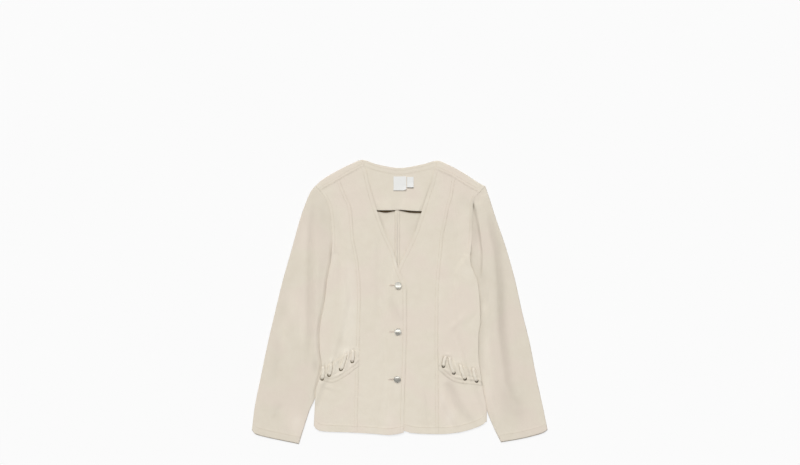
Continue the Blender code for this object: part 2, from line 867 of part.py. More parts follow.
def main():
    """Build the jacket."""
    clear_scene()
    jacket = make_collection("denim_jacket")
    cutters = make_collection("cutters")
    denim = make_material("ecru_denim", (0.74, 0.68, 0.58), 0.9)
    tape = make_material("label_tape", (0.85, 0.85, 0.83), 0.7)
    silver = make_material("silver_metal", (0.78, 0.77, 0.72), 0.25, 1.0)
    bronze = make_material("aged_bronze", (0.30, 0.26, 0.20), 0.4, 1.0)
    for half in HALVES:
        add_back(half, denim, jacket)
        add_sleeve(half, denim, jacket)
        add_side_front(half, denim, jacket)
        add_pocket_front(half, denim, jacket)
        add_shoulder(half, denim, jacket)
        add_band(half, denim, jacket)
        for number, lacing in enumerate(LACINGS[half], start=1):
            add_eyelet(half, number, lacing, bronze, jacket)
            add_lace(half, number, lacing, denim, jacket)
    add_centre_front(LEFT, denim, jacket)
    front = add_centre_front(RIGHT, denim, jacket)
    cut_buttonholes(front, "buttonhole_round", round_cutter, 0.0, denim, cutters)
    cut_buttonholes(front, "buttonhole_slit", slit_cutter, -BUTTONHOLE_LENGTH / 2, denim, cutters)
    add_facing(denim, jacket)
    for label in LABELS:
        add_label(label, tape, jacket)
    for number, button in enumerate(BUTTONS, start=1):
        add_button(number, button, silver, jacket)


main()
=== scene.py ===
"""Dress a collarless denim jacket, laid out flat on its back with the front side up.

Sizes are in millimetres until a mesh is made, in metres. X runs across the jacket (+X is the
wearer's left), +Y runs towards the neck and +Z runs up through the layers of cloth. "Out" is the
distance from the centre line towards the side of the half in hand.
"""
from __future__ import annotations

import logging
import math
from dataclasses import dataclass, field
from enum import Enum
from typing import Callable, Sequence

import bpy
import numpy as np
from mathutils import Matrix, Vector


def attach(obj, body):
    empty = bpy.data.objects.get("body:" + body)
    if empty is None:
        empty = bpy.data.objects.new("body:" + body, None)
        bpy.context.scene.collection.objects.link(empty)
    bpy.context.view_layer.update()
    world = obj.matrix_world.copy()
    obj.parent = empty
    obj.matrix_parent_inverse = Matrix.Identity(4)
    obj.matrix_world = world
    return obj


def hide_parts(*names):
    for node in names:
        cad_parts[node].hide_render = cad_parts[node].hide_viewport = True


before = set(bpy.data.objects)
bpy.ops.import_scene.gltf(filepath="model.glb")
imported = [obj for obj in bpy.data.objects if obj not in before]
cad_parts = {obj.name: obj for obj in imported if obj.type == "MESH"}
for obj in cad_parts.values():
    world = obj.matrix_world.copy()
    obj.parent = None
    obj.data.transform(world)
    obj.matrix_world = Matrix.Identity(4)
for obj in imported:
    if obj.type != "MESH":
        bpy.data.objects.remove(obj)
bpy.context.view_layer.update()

LOG = logging.getLogger("denim_jacket")
MM = 0.001
BODY = "root"
PASSES = 24
FIRST_HEIGHT = (-300.0, 560.0)
WHITE = (1.0, 1.0, 1.0, 1.0)

WALL = 1.2
LABEL_WALL = 0.45
SEAM = 0.3
HALF_SEAM = 0.02
FRONT_TOP = 4.8
OVERLAP_RISE = 1.5
SLEEVE_TOP = 5.4
SLEEVE_PRESSED = 3.6
SIDE_RAMP = 16.0
SIDE_SHARE = 0.77
UNDERARM = 112.0
CROSSING_FADE = 43.0
ARMHOLE_TOP = 272.0
BACK_SEAM = 6.0
FOLD_GAP = 0.65
SIDE_FOLD = 3.0
SHOULDER_FOLD = 3.0
PRESS = ((0.0, 7.5), (8.0, 24.0))
LAP_MARGIN = 4.0
LAP_RAMP = 14.0
HEM_BAND = 16.0
SHOULDER_START = (83.2, 89.2)
FACING_LOW = 217.0
FACING_TACK = -7.0
FACING_UNDER = 10.0
FACING_WIDEST = 89.4
MARGIN = (0.0, 0.2, 0.45, 0.8, 1.3, 1.9, 2.7, 3.9, 5.3, 6.4, 7.2, 8.0, 9.0, 11.0, 13.4)
HEM_MARGIN = (0.0, 0.3, 0.8, 1.6, 3.0, 5.0, 7.5, 10.0, 12.4, 13.8, 14.8, 15.6, 16.6, 18.0)

BACKS = ("back_left_cloth", "back_right_cloth")

Field = np.ndarray
Reader = Callable[[Field], Field]
Colour = tuple[float, ...]
Material = bpy.types.Material
Piece = bpy.types.Object


class Side(Enum):
    """A half of the jacket, named for the wearer. The value is its column in a line's rows."""

    RIGHT = 1
    LEFT = 2

    @property
    def sign(self) -> float:
        """Return the direction of "out" along X."""
        return -1.0 if self is Side.RIGHT else 1.0

    @property
    def word(self) -> str:
        """Return the half's name in the names of pieces."""
        return self.name.lower()


def follow(rows: Sequence[Sequence[float]], column: int, at: Field) -> Field:
    """Read a table on a smooth curve through its rows that never overshoots.

    Between two rows the value is the cubic Hermite blend of their values and slopes, and each
    slope is the harmonic mean of the steps on both sides of its row, or nothing at a peak.

    Args:
        rows: rows of (place, value, value).
        column: which value to read.
        at: the places to read it at.

    Returns:
        The values, in the shape of at.
    """
    table = np.array(sorted(rows), dtype=float)
    places, values = table[:, 0], table[:, column]
    at = np.clip(at, places[0], places[-1])
    steps = np.diff(values) / np.diff(places)
    before, after = steps[:-1], steps[1:]
    same = before * after > 0
    bends = np.where(same, 2 * before * after / np.where(same, before + after, 1.0), 0.0)
    slopes = np.concatenate((steps[:1], bends, steps[-1:]))
    index = np.clip(np.searchsorted(places, at, side="right") - 1, 0, len(places) - 2)
    span = places[index + 1] - places[index]
    share = (at - places[index]) / span
    ease = share * share * (3 - 2 * share)
    start = slopes[index] * span * share * (1 - share) ** 2
    end = slopes[index + 1] * span * share**2 * (share - 1)
    return values[index] + (values[index + 1] - values[index]) * ease + start + end


@dataclass(frozen=True)
class Line:
    """A line on the jacket: rows of (place along it, where it lies on the right, on the left)."""

    rows: tuple[tuple[float, float, float], ...]

    def at(self, side: Side, place: Field) -> Field:
        """Return where the line lies at each place along it."""
        return follow(self.rows, side.value, np.asarray(place, dtype=float))

    def stretch(self, side: Side, place: Field) -> Field:
        """Return the line's own length for each unit along its axis, from its slope."""
        slope = (self.at(side, place + 1.0) - self.at(side, place - 1.0)) / 2
        return np.sqrt(1.0 + slope**2)

    def gap(self, side: Side, value: Field, place: Field) -> Field:
        """Return the distance square to the line of points at (value, place), with its sign."""
        return (value - self.at(side, place)) / self.stretch(side, place)

    def beside(self, side: Side, place: Field, distance: float) -> Field:
        """Return a line at a distance square to this one."""
        return self.at(side, place) + distance * self.stretch(side, place)

    def on(self, side: Side, more: float = 0.0) -> Reader:
        """Return the line on one half as a function of the place along it, plus a distance."""
        return lambda place: self.at(side, place) + more


FRONT_EDGE = Line((
    (334, 90, 91), (319, 83, 85), (303, 77.7, 79.5), (282, 73, 74), (235, 60.5, 58.5),
    (198, 47.5, 47), (169, 37, 37.5), (115, 13.5, 12.8), (82, 4.5, -2.9), (56, -6, -12),
    (33, -15, -18.5), (0, -15.4, -21), (-54, -15.4, -21), (-164, -13, -21), (-254, -9.8, -21),
    (-320, -8.8, -21),
))
PRINCESS_SEAM = Line((
    (300, 148, 134), (283, 140, 129), (251, 126.3, 124.5), (221, 114, 115.6),
    (188, 110.6, 109.5), (152, 108, 101.8), (117, 101.2, 99), (87, 96.5, 95.5), (16, 91.8, 91),
    (-94, 94.6, 90), (-195, 97.2, 91), (-320, 100, 92),
))
SIDE_LINE = Line((
    (272, 197.5, 200), (261, 187, 190.5), (245, 175.5, 177), (228, 167.5, 171.5),
    (204, 162.3, 171), (146, 158.5, 169), (106, 161, 166.3), (87, 163.2, 168), (70, 167, 174.5),
    (50, 170.8, 183), (0, 176.5, 188.6), (-47, 185.8, 190), (-78, 189, 185.6),
    (-113, 187.8, 185.2), (-148, 183.5, 187.5), (-172, 187.5, 191), (-212, 197.5, 197.5),
    (-254, 200, 204.6), (-300, 202.5, 204),
))
SLEEVE_TUCK = Line((
    (112, 0, 0), (90, 17, 18), (60, 33, 38), (0, 46, 53), (-60, 46, 44), (-120, 30, 27),
    (-181, 10.5, 15), (-225, 0, 6), (-254, -11.5, 0), (-300, -24, -19), (-334, -34.5, -36),
))
SLEEVE_OUTLINE = Line((
    (272, 199.2, 201.4), (264, 206.0, 203.9), (256, 211, 206.6), (240, 218, 212),
    (202, 232, 224), (127, 253, 249.7), (52, 274.4, 270.8), (-24, 293, 287.5),
    (-99, 310.5, 306), (-174, 326, 320.5), (-249, 341, 336.8), (-300, 347.3, 347.3),
))
HEM_LINE = Line((
    (-21, -304, -302), (-9, -306.5, -302.5), (10, -310.5, -303), (26, -312, -307),
    (60, -309.5, -309.5), (97, -307, -310), (135, -305.5, -306.5), (165, -304.5, -299.6),
    (186, -302.5, -292), (197, -297, -286), (202, -290, -281),
))
CUFF_LINE = Line((
    (236, -334, -330), (280, -325, -322.5), (324, -315.3, -312), (340, -310, -306),
    (347.3, -301, -300),
))
SLEEVE_CAP = Line(((200, ARMHOLE_TOP, ARMHOLE_TOP), (206, 270, 270)))
SHOULDER_SEAM = Line((
    (83, 319, 311.5), (118, 301, 296), (140, 288, 283), (165, 273.5, 268), (187, 261, 255.5),
))
BACK_TOP = Line((
    (-8, 315, 315), (0, 315, 315), (53.5, 323.5, 323.5), (89, 334, 332), (112, 325.5, 323.5),
    (152, 305.5, 302), (184, 286, 281), (198, 273, 273),
))
POCKET_MOUTH = Line((
    (92, -112, -125), (112, -115, -130), (128, -124, -139), (145, -135, -150),
    (160, -145, -155), (175, -151, -157), (192, -156, -158.5),
))
POCKET_LINE = Line((
    (92, -148, -159), (112, -163, -177), (128, -174.5, -186.5), (145, -184.5, -190.5),
    (160, -189, -192), (175, -186, -193.5), (192, -180, -196),
))
POCKET_LAP = 10.0


@dataclass(frozen=True)
class Lacing:
    """One strap: where it goes over the pocket mouth, and its eyelet, as (out, height) pairs."""

    top: tuple[float, float]
    eyelet: tuple[float, float]

    def beside(self, out: Field, height: Field) -> tuple[Field, Field]:
        """Return the distance beside the strap, with plus outwards, and the share of it passed."""
        way = np.subtract(self.top, self.eyelet)
        length = np.hypot(*way)
        x, y = out - self.eyelet[0], height - self.eyelet[1]
        return (x * way[1] - y * way[0]) / length, (x * way[0] + y * way[1]) / length**2


LACINGS = {
    Side.RIGHT: (
        Lacing((111.5, -110), (111.7, -139.2)),
        Lacing((126.3, -118), (138.5, -157.8)),
        Lacing((161.6, -141), (166, -171.3)),
        Lacing((180, -148), (182, -180)),
    ),
    Side.LEFT: (
        Lacing((109.5, -125), (102.5, -150.2)),
        Lacing((116.5, -127), (127, -166.4)),
        Lacing((142, -144), (153.5, -180)),
        Lacing((172, -152), (180.5, -185)),
    ),
}
# Painted shade on each half's eyelets, as (on the rim, in the barrel and the hole).
EYELET_SHADE = {Side.RIGHT: (0.0, 0.34), Side.LEFT: (0.3, 0.96)}
BUTTONS = ((-3.6, 39.2), (-4.3, -70.0), (-5.8, -181.7))
SHOULDER_END = {Side.RIGHT: (187.3, 198.6), Side.LEFT: (186.3, 200.6)}


def fade(low: float, high: float, value: Field) -> Field:
    """Rise smoothly from 0 at low to 1 at high: 3t^2 - 2t^3 of the share between them."""
    share = np.clip((value - low) / (high - low), 0.0, 1.0)
    return share * share * (3 - 2 * share)


def bell(distance: Field, width: float) -> Field:
    """Return a soft bell, the exponential of minus the square of distance over width."""
    return np.exp(-((distance / width) ** 2))


def above(low: Field, made: Field, sharp: float = 2.2) -> Field:
    """Keep heights above a soft floor, with ln(1 + e^(sharp times the rise above it)) / sharp."""
    return low + np.logaddexp(0.0, (made - low) * sharp) / sharp


def rounded(share: Field) -> Field:
    """Return how far a quarter circle drops at a share of its radius: 1 - sqrt(1 - t^2)."""
    return 1.0 - np.sqrt(1.0 - np.clip(share, 0.0, 1.0) ** 2)


def ripple(x: Field, y: Field, size: float, seed: int) -> Field:
    """Return smooth random relief from -1 to 1, with knots a size apart.

    Each point blends the four knots round it with the weights 3t^2 - 2t^3 of its place between.

    Args:
        x: places across.
        y: places along.
        size: distance between knots.
        seed: which random knots to use.

    Returns:
        The relief, in the shape of x.
    """
    knots = np.random.default_rng(seed).uniform(-1.0, 1.0, (64, 64))
    u, v = x / size + 640.0, y / size + 640.0
    i, j = np.floor(u).astype(int), np.floor(v).astype(int)
    s, t = fade(0.0, 1.0, u - i), fade(0.0, 1.0, v - j)
    low = knots[i % 64, j % 64] * (1 - s) + knots[(i + 1) % 64, j % 64] * s
    high = knots[i % 64, (j + 1) % 64] * (1 - s) + knots[(i + 1) % 64, (j + 1) % 64] * s
    return low * (1 - t) + high * t


def crumple(x: Field, y: Field, layers: Sequence[tuple[float, float, int]]) -> Field:
    """Add up layers of smooth random relief, each of (height, size, seed)."""
    return sum(height * ripple(x, y, size, seed) for height, size, seed in layers)


@dataclass(frozen=True)
class Fold:
    """One crease of the cloth, along stations of (x, y, depth). A trough has a minus depth."""

    path: tuple[tuple[float, float, float], ...]
    left: float
    right: float
    # dark is the painted shade for each millimetre of a trough's depth.
    dark: float = 0.0

    def relief(self, x: Field, y: Field) -> Field:
        """Return the depth at the nearest station, fading as a bell over the width on that side.

        Args:
            x: places across the jacket.
            y: places along it.

        Returns:
            Heights to add to the cloth.
        """
        nearest = np.full(np.shape(x), np.inf)
        found = np.zeros(np.shape(x))
        for (ax, ay, start), (bx, by, end) in zip(self.path, self.path[1:]):
            wx, wy = bx - ax, by - ay
            share = np.clip(((x - ax) * wx + (y - ay) * wy) / (wx**2 + wy**2), 0.0, 1.0)
            dx, dy = x - ax - wx * share, y - ay - wy * share
            distance = np.hypot(dx, dy)
            width = np.where((dx > 0) == (wy < 0), self.left, self.right)
            value = (start + (end - start) * share) * bell(distance, width)
            closer = distance < nearest
            nearest = np.where(closer, distance, nearest)
            found = np.where(closer, value, found)
        return found

    def shade(self, x: Field, y: Field) -> Field:
        """Return the painted shade in a trough, in step with its depth."""
        return self.dark * np.maximum(-self.relief(x, y), 0.0)


@dataclass(frozen=True)
class Wash:
    """A soft patch of painted light, which makes the cloth paler, or of painted shade with a share
    above zero.
    """

    x: float
    y: float
    wide: float
    high: float
    share: float

    def shade(self, x: Field, y: Field) -> Field:
        """Return the share, fading as a bell with the distance in half widths and heights."""
        return self.share * bell(np.hypot((x - self.x) / self.wide, (y - self.y) / self.high), 1.0)


BODY_CRUMPLE = ((0.30, 26.0, 3), (0.14, 9.0, 4), (0.05, 4.0, 8))
SLEEVE_CRUMPLE = ((0.32, 30.0, 51), (0.12, 10.0, 52), (0.04, 4.0, 53))
BACK_CRUMPLE = ((0.35, 24.0, 41), (0.15, 9.0, 42))
BODY_FOLDS = (
    Fold(((104, -190, 0), (115, -199, -2.2), (125, -212, -3.2), (137, -240, -3.0),
          (150, -262, -2.4), (167, -281, -1.8), (180, -302, -0.4)), 9, 12, 0.032),
    Fold(((92, -186, 0), (99, -207, 1.7), (109, -242, 2.3), (130, -277, 2.1), (141, -300, 0.5)),
         9, 9),
    Fold(((59, -205, 0), (61, -235, -1.0), (64, -270, -1.1), (66, -300, -0.3)), 5, 5, 0.035),
    Fold(((-47, -222, 0), (-46, -245, -0.9), (-47, -272, -0.9), (-48, -300, -0.2)), 5, 5, 0.035),
    Fold(((-26, 14, 0), (-19, -5, -1.3), (-11, -26, -1.6), (-2, -46, -1.0), (5, -60, 0)),
         8, 9, 0.034),
    Fold(((-8, 16, 0), (-3, -4, 0.9), (3, -24, 0.9), (8, -40, 0)), 6, 6),
    Fold(((160, -22, 0), (150, -34, 1.3), (136, -48, 1.5), (121, -62, 0.9), (110, -78, 0)), 7, 7),
    Fold(((182, -20, 0), (170, -38, -1.0), (160, -52, -0.5), (150, -66, 0)), 6, 7, 0.02),
    Fold(((-52, 165, 0), (-52, 120, -0.7), (-53, 20, -0.8), (-54, -45, 0)), 6, 6, 0.04),
    Fold(((-43, 150, 0), (-44, 60, 0.6), (-45, -50, 0.6), (-44, -120, 0)), 6, 7),
    Fold(((-142, 118, 0), (-141, 90, -0.9), (-140, 50, -0.6), (-141, 20, 0)), 6, 6, 0.035),
    Fold(((-128, 110, 0), (-126, 50, 0.9), (-126, -30, 1.3), (-126, -110, 0)), 14, 10),
    Fold(((-150, 215, 0), (-147, 190, -0.9), (-141, 160, -0.8), (-138, 130, 0)), 6, 6, 0.035),
    Fold(((140, 225, 0), (137, 190, -0.7), (133, 140, -0.7), (131, 90, 0)), 7, 7, 0.02),
    Fold(((107, 214, 0), (104, 185, -0.6), (101, 150, -0.5), (99, 120, 0)), 8, 8, 0.03),
    Fold(((150, 130, 0), (152, 112, 0.9), (160, 95, 1.1), (166, 84, 0)), 7, 6),
    Fold(((-150, -215, 0), (-172, -206, -0.9), (-190, -196, 0)), 5, 5, 0.02),
    Fold(((-140, -208, 0), (-166, -201, 0.7), (-184, -191, 0)), 4, 4),
)
# Patches of painted light (below zero) and painted shade (above zero) on the body.
BODY_PAINTED_PATCHES = (
    Wash(-118, -40, 17, 88, -0.19), Wash(-130, -62, 9, 42, -0.08), Wash(-119, 62, 12, 28, -0.07),
    Wash(-126, -118, 17, 11, -0.17), Wash(-148, -158, 18, 13, -0.17), Wash(-159, -134, 8, 9, -0.12),
    Wash(-114, -140, 10, 8, -0.16), Wash(-45, -215, 50, 85, -0.07), Wash(-24, -281, 11, 13, -0.10),
    Wash(-14, 92, 13, 18, -0.08), Wash(92, 15, 6, 65, -0.09), Wash(98, -226, 8, 22, -0.10),
    Wash(117, -271, 11, 22, -0.17), Wash(125, -140, 20, 9, -0.08), Wash(160, 75, 13, 16, -0.09),
    Wash(71, 282, 15, 15, 0.04), Wash(153, 238, 22, 18, 0.05), Wash(172, 194, 9, 20, 0.04),
    Wash(118, 181, 9, 26, 0.035), Wash(108, -166, 10, 8, 0.08), Wash(123, -191, 12, 15, 0.05),
)
# Painted shade on the back inside the V, beside the left front's edge.
BACK_PAINTED_SHADE = Wash(31, 167, 15, 22, 0.055)
# Patches of painted light (below zero) and painted shade (above zero) on the sleeves.
SLEEVE_PAINTED_PATCHES = (
    Wash(207, -200, 9, 44, -0.13), Wash(204, -112, 8, 30, -0.09), Wash(201, -18, 8, 20, -0.07),
    Wash(250, -218, 15, 26, 0.06), Wash(253, -254, 14, 20, 0.045), Wash(284, -250, 14, 60, 0.03),
    Wash(237, 8, 11, 70, 0.045), Wash(-244, -284, 14, 24, -0.16), Wash(-228, -45, 8, 55, -0.07),
    Wash(-250, 0, 14, 32, -0.06), Wash(-276, -72, 12, 32, -0.06), Wash(-223, 132, 11, 48, -0.06),
    Wash(-182, 205, 12, 38, 0.05), Wash(-199, -148, 8, 18, 0.10), Wash(173.5, 226, 1.6, 8, 0.42),
)
SLEEVE_FOLDS = (
    Fold(((-200, 232, 0), (-204, 200, -1.7), (-209, 134, -2.6), (-209, 0, -2.8),
          (-209, -73, -2.2), (-213, -125, -1.0), (-220, -180, 0)), 8, 8, 0.026),
    Fold(((-222, 190, 0), (-228, 120, 0.9), (-232, 10, 1.2), (-236, -90, 1.0), (-246, -180, 0)),
         15, 10),
    Fold(((-192, 150, 0), (-191, 90, 1.2), (-193, 10, 1.3), (-196, -80, 0.9), (-202, -150, 0)),
         7, 7),
    Fold(((-262, 60, 0), (-272, -20, -0.6), (-283, -110, -1.2), (-290, -165, -1.1),
          (-296, -230, 0)), 11, 12, 0.03),
    Fold(((-268, -240, 0), (-286, -252, -1.0), (-292, -272, -1.0), (-290, -300, 0)), 9, 9, 0.03),
    Fold(((-240, -230, 0), (-252, -258, 0.7), (-262, -290, 0.7), (-266, -312, 0)), 9, 9),
    Fold(((209, 212, 0), (213, 184, -1.9), (219, 158, -2.4), (228.5, 124, -2.6), (235.6, 38, -3.0),
          (240.3, -73, -3.0), (248.5, -139, -2.8), (254, -188, -2.2), (266, -221, -1.6),
          (283, -258, 0)), 11, 7, 0.05),
    Fold(((205, 190, 0), (214, 120, 0.8), (218, 30, 1.0), (222, -80, 1.0), (226, -160, 0.6),
          (230, -200, 0)), 9, 8),
    Fold(((200, -196, 0), (207, -214, 1.0), (211, -236, 1.4), (224, -276, 1.0), (232, -300, 0)),
         7, 8),
    Fold(((262, 60, 0), (266, 0, 0.9), (276, -90, 1.1), (288, -180, 0.9), (296, -240, 0)),
         12, 12),
    Fold(((262, -222, 0), (270, -245, -1.3), (277, -266, -1.4), (283, -296, 0)), 16, 16, 0.03),
)


EDGE_TURN = 0.8
EDGE_DROP = 0.16
DITCH = 0.2
DITCH_WIDTH = 0.85
SHADE_WIDTH = 0.9


@dataclass(frozen=True)
class Band:
    """The relief beside a seam: rows of stitching and a raised, folded allowance."""

    rows: tuple[float, ...] = ()
    wide: float = 0.0
    rise: float = 0.0
    pucker: float = 0.0
    seed: int = 1
    # line and ditch are the shares of painted shade at the seam and in each row's ditch.
    line: float = 0.02
    ditch: float = 0.033

    def relief(self, inside: Field, along: Field) -> Field:
        """Return the relief at a distance inside the seam.

        The edge turns down on a quarter circle, each row of stitching lies in a ditch, the
        allowance lifts the cloth up to its width, and gathers of random length cross it.

        Args:
            inside: distance from the seam, into the panel.
            along: place along the seam.

        Returns:
            Heights to add to the cloth.
        """
        made = -EDGE_DROP * rounded(1.0 - inside / EDGE_TURN)
        if self.wide:
            made = made + self.rise * fade(self.wide + 1.8, self.wide - 0.4, inside)
        for row in self.rows:
            made = made - DITCH * bell(inside - row, DITCH_WIDTH)
        if self.pucker:
            gather = ripple(along, inside * 0.35, 5.0, self.seed)
            made = made + self.pucker * gather * bell(inside - 4.0, 5.0)
        return made

    def dark(self, inside: Field) -> Field:
        """Return the painted shade at the seam and in the ditches of its stitching."""
        rows = sum(self.ditch * bell(inside - row, SHADE_WIDTH) for row in self.rows)
        return self.line * bell(inside, SHADE_WIDTH) + rows


HEM = Band((14.8,), HEM_BAND, 0.5, 0.28, 5, 0.02, 0.09)
EDGE = Band((7.7,), 0.0, 0.0, 0.2, 7, 0.02, 0.05)
FELL = Band((1.3, 7.2), 8.2, 0.32, 0.24, 11)
SINGLE = Band((), 0.0, 0.0, 0.16, 13)
ARMHOLE = Band((6.3,), 7.2, 0.35, 0.22, 17)
STRIP = Band((1.4, 7.0), 8.0, 0.4, 0.22, 19)
POCKET_EDGE = Band((1.5, 8.0), 0.0, 0.0, 0.3, 23, 0.10, 0.07)
NECK = Band((4.5, 13.5), 14.3, 0.35, 0.14, 29)
Seams = Sequence[tuple[Band, Field, Field, "Field | float"]]


def seam_relief(seams: Seams) -> Field:
    """Add up the reliefs of some seams, each given as its band, distance, place and share."""
    return sum(band.relief(np.maximum(inside, 0.0), along) * share
               for band, inside, along, share in seams)


def seam_shade(seams: Seams) -> Field:
    """Add up the painted shade of some seams, each given as its band, distance, place and share."""
    return sum(band.dark(np.maximum(inside, 0.0)) * share for band, inside, _, share in seams)


def settle(
    low: Reader,
    high: Reader,
    inner: Reader,
    outer: Reader,
    across: tuple[Field, Field],
    along: tuple[Field, Field],
) -> tuple[Field, Field]:
    """Place a grid between four lines, by going back and forth between its two directions.

    Out is inner + lead + share of what the leads leave, and height is the same from low to high.

    Args:
        low: height of the lower line at a distance out.
        high: height of the upper line at a distance out.
        inner: distance out of the inner line at a height.
        outer: distance out of the outer line at a height.
        across: leads in millimetres and shares, for the columns.
        along: leads and shares, for the rows.

    Returns:
        Two grids, of out and of height.
    """
    columns = tuple(item[None, :] for item in across)
    rows = tuple(item[:, None] for item in along)
    height = FIRST_HEIGHT[0] + FIRST_HEIGHT[1] * rows[1] + rows[0] + 0.0 * columns[0]
    for _ in range(PASSES):
        out = spread(inner(height), outer(height), *columns)
        height = spread(low(out), high(out), *rows)
    return out, height


def spread(start: Field, end: Field, lead: Field, share: Field) -> Field:
    """Place points between two ends. Where there is too little room, the leads shrink to fit."""
    total = max(float(lead.max()), 1e-6)
    scale = np.clip(0.8 * (end - start) / total, 0.0, 1.0)
    return start + lead * scale + share * (end - start - total * scale)


def spaces(
    count: int, before: Sequence[float] = (0.0,), after: Sequence[float] = (0.0,)
) -> tuple[Field, Field]:
    """Space columns evenly, with closer ones at fixed distances from both edges.

    Args:
        count: how many even steps lie between the margins.
        before: distances from the first edge, from 0 up.
        after: distances from the last edge, from 0 up.

    Returns:
        Leads in millimetres, and shares of the rest.
    """
    first, last = np.array(before, float), np.array(after, float)
    middle = np.linspace(0.0, 1.0, count + 1)[1:-1]
    ending = first[-1] + last[-1] - last[::-1]
    lead = np.concatenate((first, np.full(len(middle), first[-1]), ending))
    share = np.concatenate((np.zeros(len(first)), middle, np.ones(len(last))))
    return lead, share


class Wire:
    """A value in a shader. Python's operators on it add Math nodes."""

    def __init__(self, graph: Graph, socket: bpy.types.NodeSocket) -> None:
        """Keep the graph and the socket."""
        self.graph = graph
        self.socket = socket

    def _join(self, operation: str, *values: Wire | float) -> Wire:
        """Add a Math node for an operation on some values."""
        return self.graph.node("ShaderNodeMath", {"operation": operation}, dict(enumerate(values)))

    def __add__(self, other: Wire | float) -> Wire:
        """Add."""
        return self._join("ADD", self, other)

    __radd__ = __add__

    def __sub__(self, other: Wire | float) -> Wire:
        """Subtract."""
        return self._join("SUBTRACT", self, other)

    def __rsub__(self, other: float) -> Wire:
        """Subtract from a number."""
        return self._join("SUBTRACT", other, self)

    def __mul__(self, other: Wire | float) -> Wire:
        """Multiply."""
        return self._join("MULTIPLY", self, other)

    __rmul__ = __mul__

    def wave(self, length: float) -> Wire:
        """Return a sine wave of a length, from 0 to 1."""
        return self._join("SINE", self * (2.0 * math.pi / length)) * 0.5 + 0.5

    def above(self, low: float, high: float) -> Wire:
        """Return how far the value is between two limits, from 0 to 1."""
        names = {"From Min": low, "From Max": high, "Value": self}
        return self.graph.node("ShaderNodeMapRange", {"clamp": True}, names)


class Graph:
    """The node tree of a material or a world, made node by node."""

    def __init__(self, owner: Material | bpy.types.World) -> None:
        """Start from the nodes that the material or world comes with."""
        owner.use_nodes = True
        self.owner = owner
        self.tree = owner.node_tree

    def node(
        self,
        kind: str,
        settings: dict[str, object] | None = None,
        values: dict[str | int, object] | None = None,
        output: str | int = 0,
    ) -> Wire:
        """Add a node.

        Args:
            kind: the node's type.
            settings: its own settings, made first. A ramp's stops are pairs of place and grey.
            values: what goes into its sockets, by name or number: a Wire or a plain value.
            output: the output to hand on.

        Returns:
            That output.
        """
        made = self.tree.nodes.new(kind)
        for name, value in (settings or {}).items():
            if name != "stops":
                setattr(made, name, value)
                continue
            elements = made.color_ramp.elements
            while len(elements) < len(value):
                elements.new(0.5)
            for element, (at, grey) in zip(elements, value):
                element.position = at
                element.color = (grey, grey, grey, 1.0)
        for name, value in (values or {}).items():
            self.feed(made.inputs[name], value)
        return Wire(self, made.outputs[output])

    def feed(self, socket: bpy.types.NodeSocket, value: object) -> None:
        """Link a Wire to a socket, or set the socket's own value."""
        if isinstance(value, Wire):
            self.tree.links.new(value.socket, socket)
        else:
            socket.default_value = value

    def first(self, name: str) -> Wire:
        """Return the output of a node that the tree came with."""
        return Wire(self, self.tree.nodes[name].outputs[0])

    def last(self, name: str, value: Wire) -> None:
        """Feed the output node that the tree came with."""
        self.feed(self.tree.nodes[name].inputs[0], value)

    def part(self, vector: Wire, axis: int) -> Wire:
        """Return one part of a vector."""
        return self.node("ShaderNodeSeparateXYZ", {}, {0: vector}, axis)

    def place(self) -> Wire:
        """Return the place on the piece, in metres."""
        return self.node("ShaderNodeTexCoord", {}, {}, "Object")

    def grain(self) -> Wire:
        """Return the place across and along the grain, in millimetres."""
        return self.node("ShaderNodeUVMap", {"uv_map": "grain"})

    def shade(self) -> Wire:
        """Return the piece's shade attribute: painted shade, and painted light where it is below
        zero.
        """
        return self.node("ShaderNodeAttribute", {"attribute_name": "shade"}, {}, "Fac")

    def noise(self, place: Wire, scale: float, detail: float = 2.0) -> Wire:
        """Add a Noise texture."""
        values = {"Vector": place, "Scale": scale, "Detail": detail}
        return self.node("ShaderNodeTexNoise", {}, values, "Fac")

    def blend(self, share: Wire | float, low: Colour | Wire, high: Colour | Wire) -> Wire:
        """Blend two colours."""
        return self.node("ShaderNodeMix", {"data_type": "RGBA"}, {0: share, 6: low, 7: high}, 2)

    def mix(self, share: Wire, low: Wire, high: Wire) -> Wire:
        """Mix two shaders."""
        return self.node("ShaderNodeMixShader", {}, {0: share, 1: low, 2: high})

    def ray(self, kind: str) -> Wire:
        """Return 1 for a kind of ray."""
        return self.node("ShaderNodeLightPath", {}, {}, f"Is {kind} Ray")

    def bump(self, height: Wire, strength: float, distance: float) -> Wire:
        """Add a Bump node."""
        values = {"Strength": strength, "Distance": distance, "Height": height}
        return self.node("ShaderNodeBump", {}, values, "Normal")

    def finish(self, **values: object) -> Material:
        """Feed the Principled BSDF, an underscore standing for a space in a socket's name."""
        shader = self.tree.nodes["Principled BSDF"]
        for name, value in values.items():
            self.feed(shader.inputs[name.replace("_", " ")], value)
        return self.owner


def colour(red: float, green: float, blue: float) -> Colour:
    """Turn a display colour from 0 to 255 into a linear one with alpha."""
    parts = [value / 255.0 for value in (red, green, blue)]
    lines = [part / 12.92 if part < 0.04045 else ((part + 0.055) / 1.055) ** 2.4 for part in parts]
    return (*lines, 1.0)


